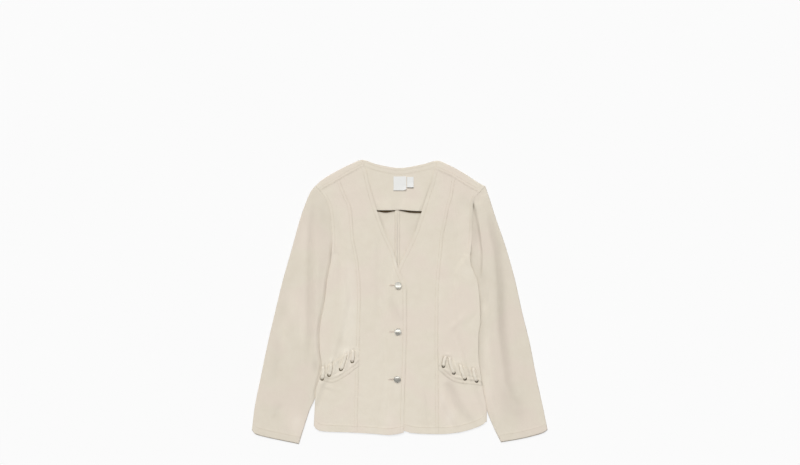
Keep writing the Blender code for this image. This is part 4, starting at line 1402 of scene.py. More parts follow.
@dataclass
class Sleeve(Panel):
    """A sleeve: a flattened tube of cloth, folded along both sides, open at cuff and armhole."""

    outer_turn: float = 2.6
    inner_turn: float = 2.2
    armhole_turn: float = 0.7
    lean: float = 0.22
    cuff_gap: float = 2.0
    edge_drop: float = 0.3
    fullness: float = 1.1
    fold_share: float = 1.12
    # tone makes the whole sleeve's upper face a little darker, through the shade attribute.
    tone: float = 0.04

    def inner(self, height: Field) -> Field:
        """Return the inner edge, a seam's width outside the armhole and then under the body."""
        gap = np.where(height > UNDERARM - 1.0, HALF_SEAM, 0.0)
        return self.body.sleeve_inner(height) + gap

    def crease(self, out: Field, height: Field) -> tuple[Field, Field]:
        """Return the distance beyond the crease at the wearer's left underarm, and its share."""
        away = UNDERARM_CREASE.gap(Side.LEFT, out, height)
        return away, fade(240.0, 226.0, height) * fade(40.0, 84.0, height)

    def step(self, out: Field, height: Field) -> Field:
        """Return the crease beside the armhole: a ditch, with the cloth higher beyond it."""
        if self.side is Side.LEFT:
            away, part = self.crease(out, height)
            apart = fade(0.0, 7.0, out - SIDE_LINE.at(Side.LEFT, height))
            ditch = -1.5 * bell(away + 0.6, 2.6) * (0.35 + 0.65 * apart)
            higher = 1.9 * fade(-1.5, 4.5, away) * bell(np.maximum(away, 0.0), 24.0)
            return part * (ditch + higher - 0.5 * apart * fade(2.0, -4.0, away))
        away = SIDE_LINE.gap(Side.RIGHT, out, height)
        part = fade(238.0, 205.0, height) * fade(20.0, 90.0, height)
        return part * (0.5 * bell(away - 22.0, 9.0) - 0.7 * bell(away - 6.0, 8.0))

    def flat(self, out: Field, height: Field) -> Field:
        """Return the upper face away from the folds at the edges."""
        side = self.side
        x = side.sign * out
        outside, crossing = out - SIDE_LINE.at(side, height), self.body.crossing(height)
        pressed = SLEEVE_PRESSED + (FRONT_TOP - SLEEVE_PRESSED) * (1.0 - crossing)
        full = SLEEVE_TOP + self.fullness - pressed
        top = pressed + full * fade(*PRESS[side.value - 1], outside)
        folds = self.fold_share * sum(fold.relief(x, height) for fold in SLEEVE_FOLDS)
        clear = 1.0 - crossing * (1.0 - fade(1.0, 12.0, outside))
        relief = (folds + crumple(x, height, SLEEVE_CRUMPLE)) * clear
        made = top + relief * fade(ARMHOLE_TOP, 250.0, height) + self.step(out, height)
        made = above(2 * WALL + 0.5 + 0.3 * clear, made)
        return np.where(outside < 0.0, np.minimum(made, SLEEVE_PRESSED), made)

    def seams(self, out: Field, height: Field) -> Seams:
        """Return the seams of the upper face."""
        cuff = CUFF_LINE.gap(self.side, height, out) - self.cuff_gap
        armhole = 1.0 - self.body.crossing(height - 20.0)
        beside = SIDE_LINE.gap(self.side, out, height)
        return ((HEM, cuff, out, 1.0), (SINGLE, beside, height, armhole))

    def top(self, out: Field, height: Field) -> Field:
        """Return the upper face inside the folds, with the cuff's hem and the armhole seam."""
        return self.flat(out, height) + seam_relief(self.seams(out, height))

    def shade(self, out: Field, height: Field) -> Field:
        """Return the painted shade on the sleeve beside the body and in its creases, with its
        painted patches.
        """
        side = self.side
        x, beside = side.sign * out, np.abs(SIDE_LINE.gap(side, out, height))
        wide = 0.05 * fade(-190.0, -130.0, height) if side is Side.LEFT else 0.0
        near = 0.01 + sum(0.10 * bell(height - at, reach) for at, reach in PRESSED_EDGE[side])
        near = near * bell(beside, 3.0) + wide * bell(beside, 13.0)
        dark = self.tone + near * self.body.crossing(height - 5.0)
        dark = dark + seam_shade(self.seams(out, height))
        dark = dark + sum(item.shade(x, height) for item in (*SLEEVE_FOLDS, *SLEEVE_PAINTED_PATCHES))
        if side is Side.RIGHT:
            return dark + 0.14 * bell(beside, 2.4) * bell(height - 112.0, 22.0)
        away, part = self.crease(out, height)
        cap = fade(122.0, 165.0, height) * fade(262.0, 244.0, height)
        dark = dark + 0.13 * part * bell(away + 0.4, 2.4) + 0.10 * fade(3.0, -2.5, away) * cap
        return dark + 0.07 * bell(height - 222.0, 14.0) * fade(9.0, 1.0, np.abs(away))

    def build(self, finishes: Wardrobe) -> Piece:
        """Make the tube: the upper face from edge to edge, then the under face back again.

        Round each edge the section is half an ellipse from the upper face down to the floor, and
        at the armhole only the upper face turns a little. The cuff's upper layer is set back.
        """
        side = self.side
        turn = 1.0 - np.cos(np.radians((0, 22, 40, 56, 70, 80, 90)))
        before = [*(self.inner_turn * turn)]
        after_turn = (0.8, 1.6, 2.4, 3.2, 4.2, 5.4, 6.8, 8.4, 10.4)
        before += [self.inner_turn + item for item in after_turn]
        out, height = settle(
            CUFF_LINE.on(side),
            SLEEVE_CAP.on(side),
            self.inner,
            SLEEVE_OUTLINE.on(side),
            spaces(84, before, [*(self.outer_turn * turn)]),
            spaces(250, HEM_MARGIN, (0.0, 1.0, 2.5, 5.0)),
        )
        inner, outer = self.inner(height), SLEEVE_OUTLINE.at(side, height)
        near_turn = np.where(height > UNDERARM, self.armhole_turn, self.inner_turn)
        near_turn = np.minimum(near_turn, 0.3 * (outer - inner))
        far_turn = np.minimum(self.outer_turn, 0.3 * (outer - inner))
        top = self.top(np.clip(out, inner + near_turn, outer - far_turn), height)
        near, far = 1.0 - (out - inner) / near_turn, 1.0 - (outer - out) / far_turn
        dropped = rounded(np.maximum(near, far))
        seam = (height > UNDERARM) & (near > 0)
        drop = np.where(seam, self.edge_drop, top / 2) * dropped
        back = self.cuff_gap * fade(40.0, 0.0, height - CUFF_LINE.at(side, out))
        back = back * np.minimum((1.0 - dropped) * 1.5, 1.0)
        keep = slice(-2, 0, -3)
        loop_out = np.concatenate((out, out[:, keep]), axis=1)
        loop_height = np.concatenate((height + back, height[:, keep]), axis=1)
        loop_top = np.concatenate((top - drop, drop[:, keep]), axis=1)
        under = (2 * outer[:, keep] - out[:, keep], 2 * outer[:, :1] - inner[:, :1])
        girth = np.concatenate((out, *under), axis=1)
        along = np.concatenate((loop_height, loop_height[:, :1]), axis=1)
        points = np.stack((side.sign * loop_out, loop_height, loop_top), axis=-1)
        grain = grain_of(np.stack((side.sign * girth, along), axis=-1), -side.sign * self.lean)
        way = -1 if side is Side.RIGHT else 1
        points, grain = points[::way], grain[::way]
        shade = self.shade(loop_out, loop_height)[::way]
        surface = Surface(f"sleeve_{side.word}_cloth", points, grain, shade, True)
        nodes = [f"sleeve_top_{side.word}", f"sleeve_under_{side.word}"]
        return cloth(surface, finishes.denim, nodes)


@dataclass
class Shoulder(Panel):
    """The forward shoulder of the back, over the fold along the top of the garment."""

    lean: float = 0.53
    wave: float = 0.12

    def grid(self) -> tuple[Field, Field, Field, Field]:
        """Return grids of out, height, distance from the seam and distance past the fold."""
        side = self.side
        stations = np.linspace(0.0, 1.0, 76)
        seam_out, fold_out = (
            np.interp(stations, (0.0, 1.0), ends)
            for ends in zip(SHOULDER_START, SHOULDER_END[side])
        )
        start = np.stack((seam_out, SHOULDER_SEAM.at(side, seam_out) + HALF_SEAM), axis=1)
        way = np.stack((fold_out, BACK_TOP.at(side, fold_out)), axis=1) - start
        length = np.linalg.norm(way, axis=1)
        lead = np.array([0.0, 0.3, 0.8, 1.4, 2.0, 2.9, 4.0, 5.2, 6.2, 7.0, 7.8, 9.0, 10.5])
        turn = np.sin(np.radians(np.linspace(0.0, 90.0, 8)))
        flat = length - SHOULDER_FOLD
        before = lead[:, None] / lead[-1] * np.minimum(lead[-1], flat - 0.5)
        along = np.concatenate((before, flat + SHOULDER_FOLD * turn[:, None]))
        points = start[None] + way[None] * (along / length)[..., None]
        return points[..., 0], points[..., 1], along, along - flat

    def calm(self, out: Field, height: Field) -> Field:
        """Return the upper face of the flat part, with no seam."""
        return FRONT_TOP + self.wave * ripple(self.side.sign * out, height, 12.0, 61)

    def level(self, out: Field, height: Field) -> Field:
        """Return the upper face, with its seam, at places near the seam."""
        gap = height - SHOULDER_SEAM.at(self.side, out) - HALF_SEAM
        return self.calm(out, height) + STRIP.relief(gap * 0.9, out)

    def top(self, out: Field, height: Field) -> Field:
        """Return the upper face on the panel's own grid, turned down round the fold."""
        _, _, along, past = self.grid()
        drop = (FRONT_TOP - WALL - FOLD_GAP) * rounded(past / SHOULDER_FOLD)
        return self.calm(out, height) + STRIP.relief(along, out) - drop

    def shade(self, out: Field, height: Field) -> Field:
        """Return the painted shade in its seam, on the panel's own grid."""
        return STRIP.dark(self.grid()[2])

    def build(self, finishes: Wardrobe) -> Piece:
        """Make the strip."""
        out, height, _, _ = self.grid()
        under = [f"back_{self.side.word}_cloth"]
        return self.make("shoulder", finishes, out, height, under, self.lean)


@dataclass
class PocketBand(Panel):
    """A curved pocket band, gathered by its lacing, from its sewn edge up to the mouth."""

    puff: float = 1.3
    pleat: float = 0.35
    ridge: float = 0.65
    dent: float = 5.4
    curl: float = 2.2
    curl_drop: float = 0.7
    gather_shade: float = 0.10
    lean: float = 0.4

    def top(self, out: Field, height: Field) -> Field:
        """Return the upper face: flush at the sewn edge, puffed and gathered towards the mouth."""
        side = self.side
        low, high = POCKET_LINE.at(side, out), POCKET_MOUTH.at(side, out)
        share = np.clip((height - low) / (high - low), 0.0, 1.0)
        end = SIDE_LINE.at(side, height) - SIDE_FOLD - out
        rise = fade(0.1, 0.7, share) * fade(0.4, 6.0, end)
        base = self.body.base(out, height) + 0.15 + self.puff * rise
        seam = np.maximum(POCKET_LINE.gap(side, height, out), 0.0)
        made = base + fade(0.1, 0.4, share) * self.body.gathers(out, height)
        made = made + self.pleat * fade(0.2, 0.6, share) * ripple(out, height * 0.5, 2.8, 72)
        ridge = bell(seam - 12.0, 3.0) - 0.7 * bell(seam - 17.0, 2.4)
        made = made + self.ridge * ridge * (1.0 + ripple(out, 0.0 * out, 9.0, 74))
        for lacing in LACINGS[side]:
            away = np.hypot(out - lacing.eyelet[0], height - lacing.eyelet[1])
            made = made + (base - 0.2 - made) * np.minimum(1.0, 1.5 * bell(away, self.dent))
        made = made + 0.25 * ripple(out, height, 8.0, 73)
        made = made - self.curl_drop * rounded(1.0 - (high - height) / self.curl)
        return made + POCKET_EDGE.relief(seam, out)

    def shade(self, out: Field, height: Field) -> Field:
        """Return the painted shade of the band between its gathers, beside the straps and at its
        edge.
        """
        above = height - POCKET_MOUTH.at(self.side, out)
        troughs = np.clip(-self.body.gather(out, above), 0.0, 1.0)
        dark = self.gather_shade * fade(-30.0, -10.0, above) * troughs
        dark = dark + FURROW_SHADE.at(self.side, out, height) + self.body.washed(out, height)
        return dark + POCKET_EDGE.dark(np.maximum(POCKET_LINE.gap(self.side, height, out), 0.0))

    def build(self, finishes: Wardrobe) -> Piece:
        """Make the band."""
        side = self.side
        out, height = settle(
            POCKET_LINE.on(side),
            POCKET_MOUTH.on(side),
            PRINCESS_SEAM.on(side, SEAM),
            SIDE_LINE.on(side, -SIDE_FOLD - 2 * SEAM),
            spaces(110),
            spaces(34, (0.0, 0.3, 0.8, 1.5, 2.4), (0.0, 0.3, 0.7, 1.3, 2.1)),
        )
        under = [f"front_side_{side.word}_cloth", f"pocket_front_{side.word}_cloth"]
        return self.make("pocket_band", finishes, out, height, under, self.lean)


@dataclass
class Laces:
    """The straps and eyelets of one pocket.

    A strap starts past its eyelet's middle, plunges into it, rides over the band and clear of the
    front, and tucks in under the gathers at its ending. The reach is how far round an eyelet the
    band's slope is read. The outline has rows of (radius, height, share of the painted shade).
    """

    body: Body
    width: float = 7.8
    tip: float = 4.6
    thick: float = 2.0
    bow: float = -1.8
    past: float = 1.3
    over: float = 1.2
    clear: float = 2.5
    plunge: float = 2.4
    tuck: float = 4.6
    ending: float = 8.0
    squareness: float = 0.8
    stations: int = 48
    girth: float = 16.0
    reach: float = 4.0
    outline: tuple[tuple[float, float, float], ...] = (
        (4.5, -0.4, 0.0), (4.45, 0.3, 0.0), (4.2, 0.75, 0.0), (3.75, 0.95, 0.0), (3.35, 0.85, 0.1),
        (3.05, 0.6, 0.4), (2.95, 0.4, 0.9), (2.9, 0.3, 1.0), (0.02, 0.3, 1.0),
    )

    def lie(self, lacing: Lacing) -> tuple[float, float, float, float]:
        """Return the band's level at an eyelet and round it, and its slopes out and up."""
        ways = np.array(((0, 0), (1, 0), (-1, 0), (0, 1), (0, -1)))
        out, height = (np.array(lacing.eyelet) + self.reach * ways).T
        seat, *levels = PocketBand(self.body).top(out, height)
        slopes = [(levels[at] - levels[at + 1]) / (2 * self.reach) for at in (0, 2)]
        return float(seat), max(float(np.mean(levels)), float(seat)), *slopes

    def strap(self, number: int, lacing: Lacing) -> Surface:
        """Sweep a flat oval along the strap: out of the eyelet, over the band and its mouth.

        The path is a straight line in plan, bowed towards the centre by a half sine, and the
        oval's half width and half height scale a circle.

        Args:
            number: the strap's number, for its name and its twists.
            lacing: its two ends.

        Returns:
            The strap's surface.
        """
        side = self.body.side
        start, end = np.array(lacing.eyelet, float), np.array(lacing.top, float)
        way = end - start
        length = float(np.linalg.norm(way))
        square = np.array((way[1], -way[0])) / length
        distance = np.linspace(-self.past, length, self.stations)
        share = np.clip(distance / length, 0.0, 1.0)
        plan = start + way / length * distance[:, None]
        plan = plan + square * (self.bow * np.sin(math.pi * share))[:, None]
        rest = self.body.base(plan[:, 0], plan[:, 1]) + self.clear + self.thick / 2
        over = self.lie(lacing)[0] + self.over + self.thick / 2
        ending = fade(length - self.ending, length, distance)
        level = over + (rest - over) * fade(4.5, 12.0, distance)
        level = level - self.plunge * fade(3.8, -0.6, distance) - self.tuck * ending
        wide = self.tip + (self.width - self.tip) * fade(-self.past, 3.2, distance)
        wide = wide * (1.0 - 0.14 * fade(4.0, 14.0, distance)) * (1.0 - 0.25 * ending)
        wide = wide * (1.0 + 0.05 * np.sin(distance * 0.4 + number * 2.1))
        turns = circle(24)
        across, upward = np.cos(turns), np.sin(turns)
        flat, lift = (np.sign(it) * np.abs(it) ** self.squareness for it in (across, upward))
        crease = 0.3 * bell(across + 0.55, 0.16) + 0.22 * bell(across - 0.5, 0.14)
        out = plan[:, :1] + square[0] * flat * wide[:, None] / 2
        height = plan[:, 1:] + square[1] * flat * wide[:, None] / 2
        top = level[:, None] + (lift - crease * (lift > 0)) * self.thick / 2
        points = turned(side, np.stack((side.sign * out, height, top), axis=-1)[:, ::-1])
        columns = np.linspace(0.0, self.girth, len(turns) + 1)
        grain = np.stack(np.meshgrid(columns, distance), axis=-1)
        # Painted shade where the strap goes into its eyelet, at its tucked ending and along one
        # side; the rest is a little paler, painted light.
        dark = 0.4 * fade(0.2, -1.0, distance) + 0.06 * fade(length - 5.5, length - 1.0, distance)
        dark = dark - 0.12 * fade(0.0, 5.0, distance)
        beside = 0.16 * bell(across - 0.9, 0.3) * fade(1.0, 5.0, distance)[:, None]
        name = f"strap_{side.word}_{number}"
        return Surface(name, points, grain, dark[:, None] + beside, True, True)

    def eyelet(self, number: int, lacing: Lacing) -> Surface:
        """Turn an eyelet's outline about its axis, tilted as the band is: a rim and a barrel."""
        side = self.body.side
        _, seat, outwards, upwards = self.lie(lacing)
        outline, turns = np.array(self.outline), circle(32)
        x = side.sign * lacing.eyelet[0] + outline[:, :1] * np.cos(turns)
        y = lacing.eyelet[1] + outline[:, :1] * np.sin(turns)
        z = seat + outline[:, 1:2] + outwards * (side.sign * x - lacing.eyelet[0])
        z = z + upwards * (y - lacing.eyelet[1])
        # Painted shade: light on the rim, strongest in the barrel and the hole.
        low, high = EYELET_SHADE[side]
        shade = np.broadcast_to(low + (high - low) * outline[:, 2:], x.shape)
        name = f"eyelet_{side.word}_{number}_ring"
        return Surface(name, np.stack((x, y, z), axis=-1), None, shade, True)

    def build(self, finishes: Wardrobe) -> None:
        """Make every strap and eyelet of the pocket."""
        for number, lacing in enumerate(LACINGS[self.body.side], start=1):
            word = f"{self.body.side.word}_{number}"
            dress(self.strap(number, lacing).build(finishes.denim), "denim", f"lace_{word}")
            ring = self.eyelet(number, lacing).build(finishes.bronze)
            dress(ring, "eyelet_metal", f"eyelet_{word}")


@dataclass
class Facing:
    """The back neck facing, loose along its lower edge and tacked at the centre back.

    The sags, the reaches of painted shadow beside the tack and the painted shade beside the fronts
    are (right, left).
    """

    sags: tuple[float, float] = (0.9, 2.6)
    gaps: tuple[float, float] = (2.6, 1.5)
    lift: float = 2.4
    deep: float = 98.0
    turn: float = 1.2
    turn_drop: float = 0.5
    edge_shades: tuple[float, float] = (0.10, 0.15)

    def low(self, x: Field) -> Field:
        """Return the height of the lower edge, which sags on both sides of the tack."""
        right, left = self.sags
        return FACING_LOW - 0.9 - (left * fade(-3.0, 42.0, x) + right * fade(-4.0, -22.0, x))

    def gap(self, x: Field) -> Field:
        """Return how far the painted shadow under the facing reaches below its edge."""
        right = self.gaps[0] + 2.8 * bell(x + 33.0, 13.0)
        left = self.gaps[1] + 3.2 * fade(-5.0, 24.0, x)
        return np.where(x < FACING_TACK, right * fade(-10.0, -13.0, x), left * fade(-3.5, 1.0, x))

    def neck(self, x: Field) -> Field:
        """Return the height of the back neckline."""
        return np.where(x < 0.0, BACK_TOP.at(Side.RIGHT, -x), BACK_TOP.at(Side.LEFT, x))

    def inside(self, x: Field, height: Field) -> tuple[Field, Field]:
        """Return the distances inside the edges of the right and the left front."""
        return x + FRONT_EDGE.at(Side.RIGHT, height), FRONT_EDGE.at(Side.LEFT, height) - x

    def top(self, x: Field, height: Field) -> Field:
        """Return the upper face, lifted on both sides of the tack, and low under the fronts."""
        clear = np.minimum(*self.inside(x, height))
        lift = self.lift * fade(2.0, 15.0, np.abs(x - FACING_TACK))
        lift = lift * (0.06 + 0.94 * fade(0.6, 9.0, clear))
        made = 2 * WALL + SEAM + lift * fade(32.0, 0.0, height - self.low(x))
        return made + 0.12 * (1 + ripple(x, height, 18.0, 81)) * fade(-2.0, 10.0, 315.0 - height)

    def shade(self, x: Field, height: Field) -> Field:
        """Return the painted shade of the facing at its stitching and beside the fronts, and the
        painted shadows under the labels.
        """
        dark = NECK.dark(np.maximum(self.neck(x) - WALL - height, 0.0))
        beside = zip(self.edge_shades, self.inside(x, height), (2.2, 2.6))
        near = sum(share * bell(inside - 0.8, width) for share, inside, width in beside)
        dark = dark + near * bell(height - 238.0, 42.0)
        for label in LABELS:
            beside = fade(label.start - 0.6, label.start + 1.5, x)
            beside = beside * fade(label.end + 1.0, label.end - 1.0, x)
            dark = dark + label.gap * beside * bell(height - label.low + 0.9, 1.3)
        return dark

    def build(self, finishes: Wardrobe) -> Piece:
        """Make the facing, on a grid from its lower edge to the neckline and under both fronts."""
        place, share = np.meshgrid(np.linspace(-1.0, 1.0, 110), np.linspace(0.0, 1.0, 80))
        height = FACING_LOW + self.deep * share
        for _ in range(PASSES):
            right, left = (
                np.minimum(FRONT_EDGE.at(side, height) + FACING_UNDER, FACING_WIDEST)
                for side in Side
            )
            x = place * np.where(place < 0.0, right, left)
            high, low = self.neck(x) - WALL, self.low(x)
            height = low + (high - low) * share
        top = self.top(x, height) + NECK.relief(high - height, x)
        top = top - self.turn_drop * rounded(1.0 - (height - low) / self.turn)
        points = np.stack((x, height, top), axis=-1)
        name = "back_neck_facing_cloth"
        surface = Surface(name, points, grain_of(points), self.shade(x, height))
        return cloth(surface, finishes.denim)


@dataclass(frozen=True)
class Label:
    """A blank label of woven tape, sewn to the facing along its upper edge."""

    name: str
    low: float
    high: float
    start: float
    end: float
    curl: float
    # gap is the share of painted shadow on the facing under the label's lower edge.
    gap: float
    corner: float
    rise: float = 0.35
    hem: float = 1.6
    hem_shade: float = 0.12
    knots: int = 30

    def build(self, finishes: Wardrobe) -> Piece:
        """Make the label, lifted along its lower edge, with its free lower corner turned up.

        The corner bends along a slanting line: beyond it the tape rises by the square of the
        distance past the line, and draws back by half as much.
        """
        x, height = np.meshgrid(
            np.linspace(self.start, self.end, self.knots),
            np.linspace(self.low, self.high, self.knots),
        )
        lift = self.curl * fade(self.start - 6.0, self.end, x)
        lift = lift * fade(self.low + 13.0, self.low, height)
        past = (x - self.end) / 11.0 + (self.low - height) / 6.5 + 1.0
        turned_up = self.corner * np.maximum(past, 0.0) ** 2
        top = Facing().top(x, height) + self.rise + LABEL_WALL + lift + turned_up
        x, height = x - 0.45 * turned_up, height + 0.8 * turned_up
        points = np.stack((x, height, top), axis=-1)
        hem_row = self.hem_shade * bell(self.high - self.hem - height, 0.5)
        surface = Surface(f"{self.name}_tape", points, grain_of(points), hem_row)
        return cloth(surface, finishes.tape, (), "label_tape", LABEL_WALL)


LABELS = (
    Label("main_label", 262.0, 295.0, -14.7, 15.4, 0.5, 0.3, 3.4),
    Label("size_label", 269.0, 294.0, 17.0, 32.6, 1.6, 0.85, 0.4),
)


@dataclass
class Buttons:
    """Three domed shank buttons with a rolled rim, each leaning a little on its shank."""

    radius: float = 8.4
    rim: float = 0.8
    rim_rise: float = 0.85
    rim_level: float = 2.35
    dome: float = 1.3
    dome_level: float = 2.9
    base: float = FRONT_TOP + OVERLAP_RISE + 2 * SEAM
    leans: tuple[float, ...] = (11.0, -3.0, -12.0)
    # The neck under the rim, as (radius, height, share of painted shade).
    under: tuple[tuple[float, float, float], ...] = (
        (5.6, 0.9, 0.5), (4.2, 0.3, 0.7), (4.1, -1.2, 0.7), (4.1, -1.75, 0.7),
    )

    def outline(self) -> Field:
        """Return rows of (radius, height, share of painted shade): a parabola, the rim's circle and
        the neck.
        """
        share, angle = np.linspace(0.0, 1.0, 14), np.radians(np.linspace(140.0, -60.0, 12))
        inside = self.radius - 0.5 - self.rim
        crown = self.dome_level + self.dome * (1 - share**2)
        dome = np.stack((0.02 + inside * share, crown, 0.0 * share), axis=1)
        across = self.radius - self.rim + self.rim * np.cos(angle)
        roll = self.rim_level + self.rim_rise * np.sin(angle)
        return np.concatenate((dome, np.stack((across, roll, 0.0 * angle), axis=1), self.under))

    def build(self, finishes: Wardrobe) -> None:
        """Turn the outline about each button's axis, then lean its head up or down the jacket."""
        radius, rise, shade = self.outline().T[:, :, None]
        angle = circle(64)
        for number, ((x, y), lean) in enumerate(zip(BUTTONS, self.leans), start=1):
            along = radius * np.sin(angle)
            tilt = math.tan(math.radians(lean)) * fade(-1.2, 0.3, rise)
            level = self.base + rise - along * tilt
            points = np.stack((x + radius * np.cos(angle), y + along, level), axis=-1)[::-1]
            dark = np.broadcast_to(shade[::-1], points.shape[:2])
            item = Surface(f"button_{number}_metal", points, None, dark, True, True)
            dress(item.build(finishes.silver), "button_metal", f"button_{number}")


@dataclass
class Buttonholes:
    """The thread-bound edge of each buttonhole, from the button towards the wearer's right."""

    length = 20.0
    slit = 0.6
    cord: float = 1.05
    thick: float = 0.55
    twist: float = 0.66
    pitch: float = 0.22

    def binding(self, number: int, x: float, y: float, front: CentreFront) -> Surface:
        """Sweep a ribbed oval cord round a slit.

        The path is a flat capsule: both its direction and its place along the slit change evenly
        on a straight side or a bend. The cord's size swells with the cosine of the distance
        along it, once for each turn of the thread.

        Args:
            number: the buttonhole's number, for its name.
            x: the button's place across.
            y: the button's place along.
            front: the right centre front, for its level.

        Returns:
            The cord's surface.
        """
        half, wide = self.length / 2 - 1.0, self.slit / 2 + self.cord * 0.8
        sides, bend = 2 * half, math.pi * wide
        corners = np.cumsum((0.0, sides, bend, sides, bend))
        count = int(corners[-1] / self.pitch)
        distance = np.arange(count) * corners[-1] / count
        angle = np.interp(distance, corners, (0.0, 0.0, math.pi, math.pi, 2 * math.pi))
        run = np.interp(distance, corners, (-half, half, half, -half, -half))
        cx, cy = x - self.length / 2 + run + wide * np.sin(angle), y - wide * np.cos(angle)
        swell = 1.0 + 0.16 * np.cos(distance * 2 * math.pi / self.twist)[:, None]
        turns = circle(8)
        beside = self.cord * swell * np.cos(turns)
        points = np.stack((
            cx[:, None] + np.sin(angle)[:, None] * beside,
            cy[:, None] - np.cos(angle)[:, None] * beside,
            front.top(-cx, cy)[:, None] + 0.12 + self.thick * swell * np.sin(turns),
        ), axis=-1)
        closed = np.concatenate((points, points[:1]))
        return Surface(f"binding_{number}", closed, None, None, True)

    def build(self, finishes: Wardrobe, front: CentreFront) -> None:
        """Bind every buttonhole of the right centre front."""
        parts = [self.binding(at, x, y, front) for at, (x, y) in enumerate(BUTTONS, start=1)]
        dress(join("buttonhole_bindings", parts, finishes.binding), "denim")


@dataclass
class Topstitching:
    """Rows of topstitching: each stitch is a short rounded bar that dips into the cloth."""

    name: str
    pitch: float = 3.3
    length: float = 2.55
    radius: float = 0.34
    runs: list[Field] = field(default_factory=list)

    def run(self, x: Field, y: Field, z: Field) -> None:
        """Add a row of stitches along a line of points on the cloth."""
        self.runs.append(np.stack((x, y, z), axis=-1))

    def bars(self) -> Field:
        """Return every stitch as rings of points.

        Each row is measured along its length and cut into equal pitches. A ring at a share of a
        stitch lies on its straight line, at a height and radius that are greatest in the middle.
        """
        shares = self.length * np.array((-0.5, -0.34, 0.0, 0.34, 0.5))[:, None, None]
        sizes = self.radius * np.array((0.35, 0.85, 1.0, 0.85, 0.35))[:, None, None]
        rises = self.radius * np.array((-0.5, 0.05, 0.45, 0.05, -0.5))[:, None, None]
        turns = circle(6)[:, None]
        made = []
        for line in self.runs:
            step = np.linalg.norm(np.diff(line, axis=0), axis=1)
            along = np.concatenate(([0.0], np.cumsum(step)))
            count = max(1, int(along[-1] / self.pitch))
            middle = (np.arange(count) + 0.5) * along[-1] / count
            start, centre, end = (
                np.stack([np.interp(middle + shift, along, part) for part in line.T], axis=-1)
                for shift in (-0.5, 0.0, 0.5)
            )
            way = end - start
            way = way / np.linalg.norm(way, axis=1, keepdims=True)
            square = np.stack((way[:, 1], -way[:, 0], 0.0 * way[:, 0]), axis=-1)
            square = square / np.linalg.norm(square, axis=1, keepdims=True)
            up = np.cross(square, way)
            centre, way, square, up = (item[:, None, None] for item in (centre, way, square, up))
            ring = centre + way * shares + up * rises
            made.append(ring + square * (sizes * np.cos(turns)) + up * (sizes * np.sin(turns)))
        return np.concatenate(made)

    def build(self, finishes: Wardrobe) -> Piece:
        """Make all the stitches one mesh: each has walls of four-sided faces and two caps."""
        bars = self.bars()
        count, rings, turns, _ = bars.shape
        ring = np.arange(turns)
        first = turns * np.arange(rings - 1)[:, None]
        lower, nexts = ring + first, np.roll(ring, -1) + first
        walls = np.stack((lower, nexts, nexts + turns, lower + turns), axis=-1).reshape(-1, 4)
        ends = np.stack((ring[::-1], ring + turns * (rings - 1)))
        one = np.concatenate((walls, ends[:, [0, 1, 2, 3]], ends[:, [0, 3, 4, 5]]))
        faces = (one[None] + (np.arange(count) * rings * turns)[:, None, None]).reshape(-1, 4)
        piece = place(smooth_mesh(self.name, bars, faces.tolist()), finishes.thread)
        LOG.info("%s: %d stitches", self.name, count)
        return dress(piece, "denim")


@dataclass(frozen=True)
class Row:
    """A row of stitches beside a line, at a distance from it, between two places along it."""

    line: Line
    away: float
    start: float
    end: float
    top: Callable[[Field, Field], Field]
    across: bool = True

    def lay(self, work: Topstitching, side: Side) -> None:
        """Add the row to some stitching, with a point for each millimetre."""
        at = np.linspace(self.start, self.end, int(abs(self.end - self.start)) + 2)
        beside = self.line.beside(side, at, self.away)
        out, height = (at, beside) if self.across else (beside, at)
        work.run(side.sign * out, height, self.top(out, height))


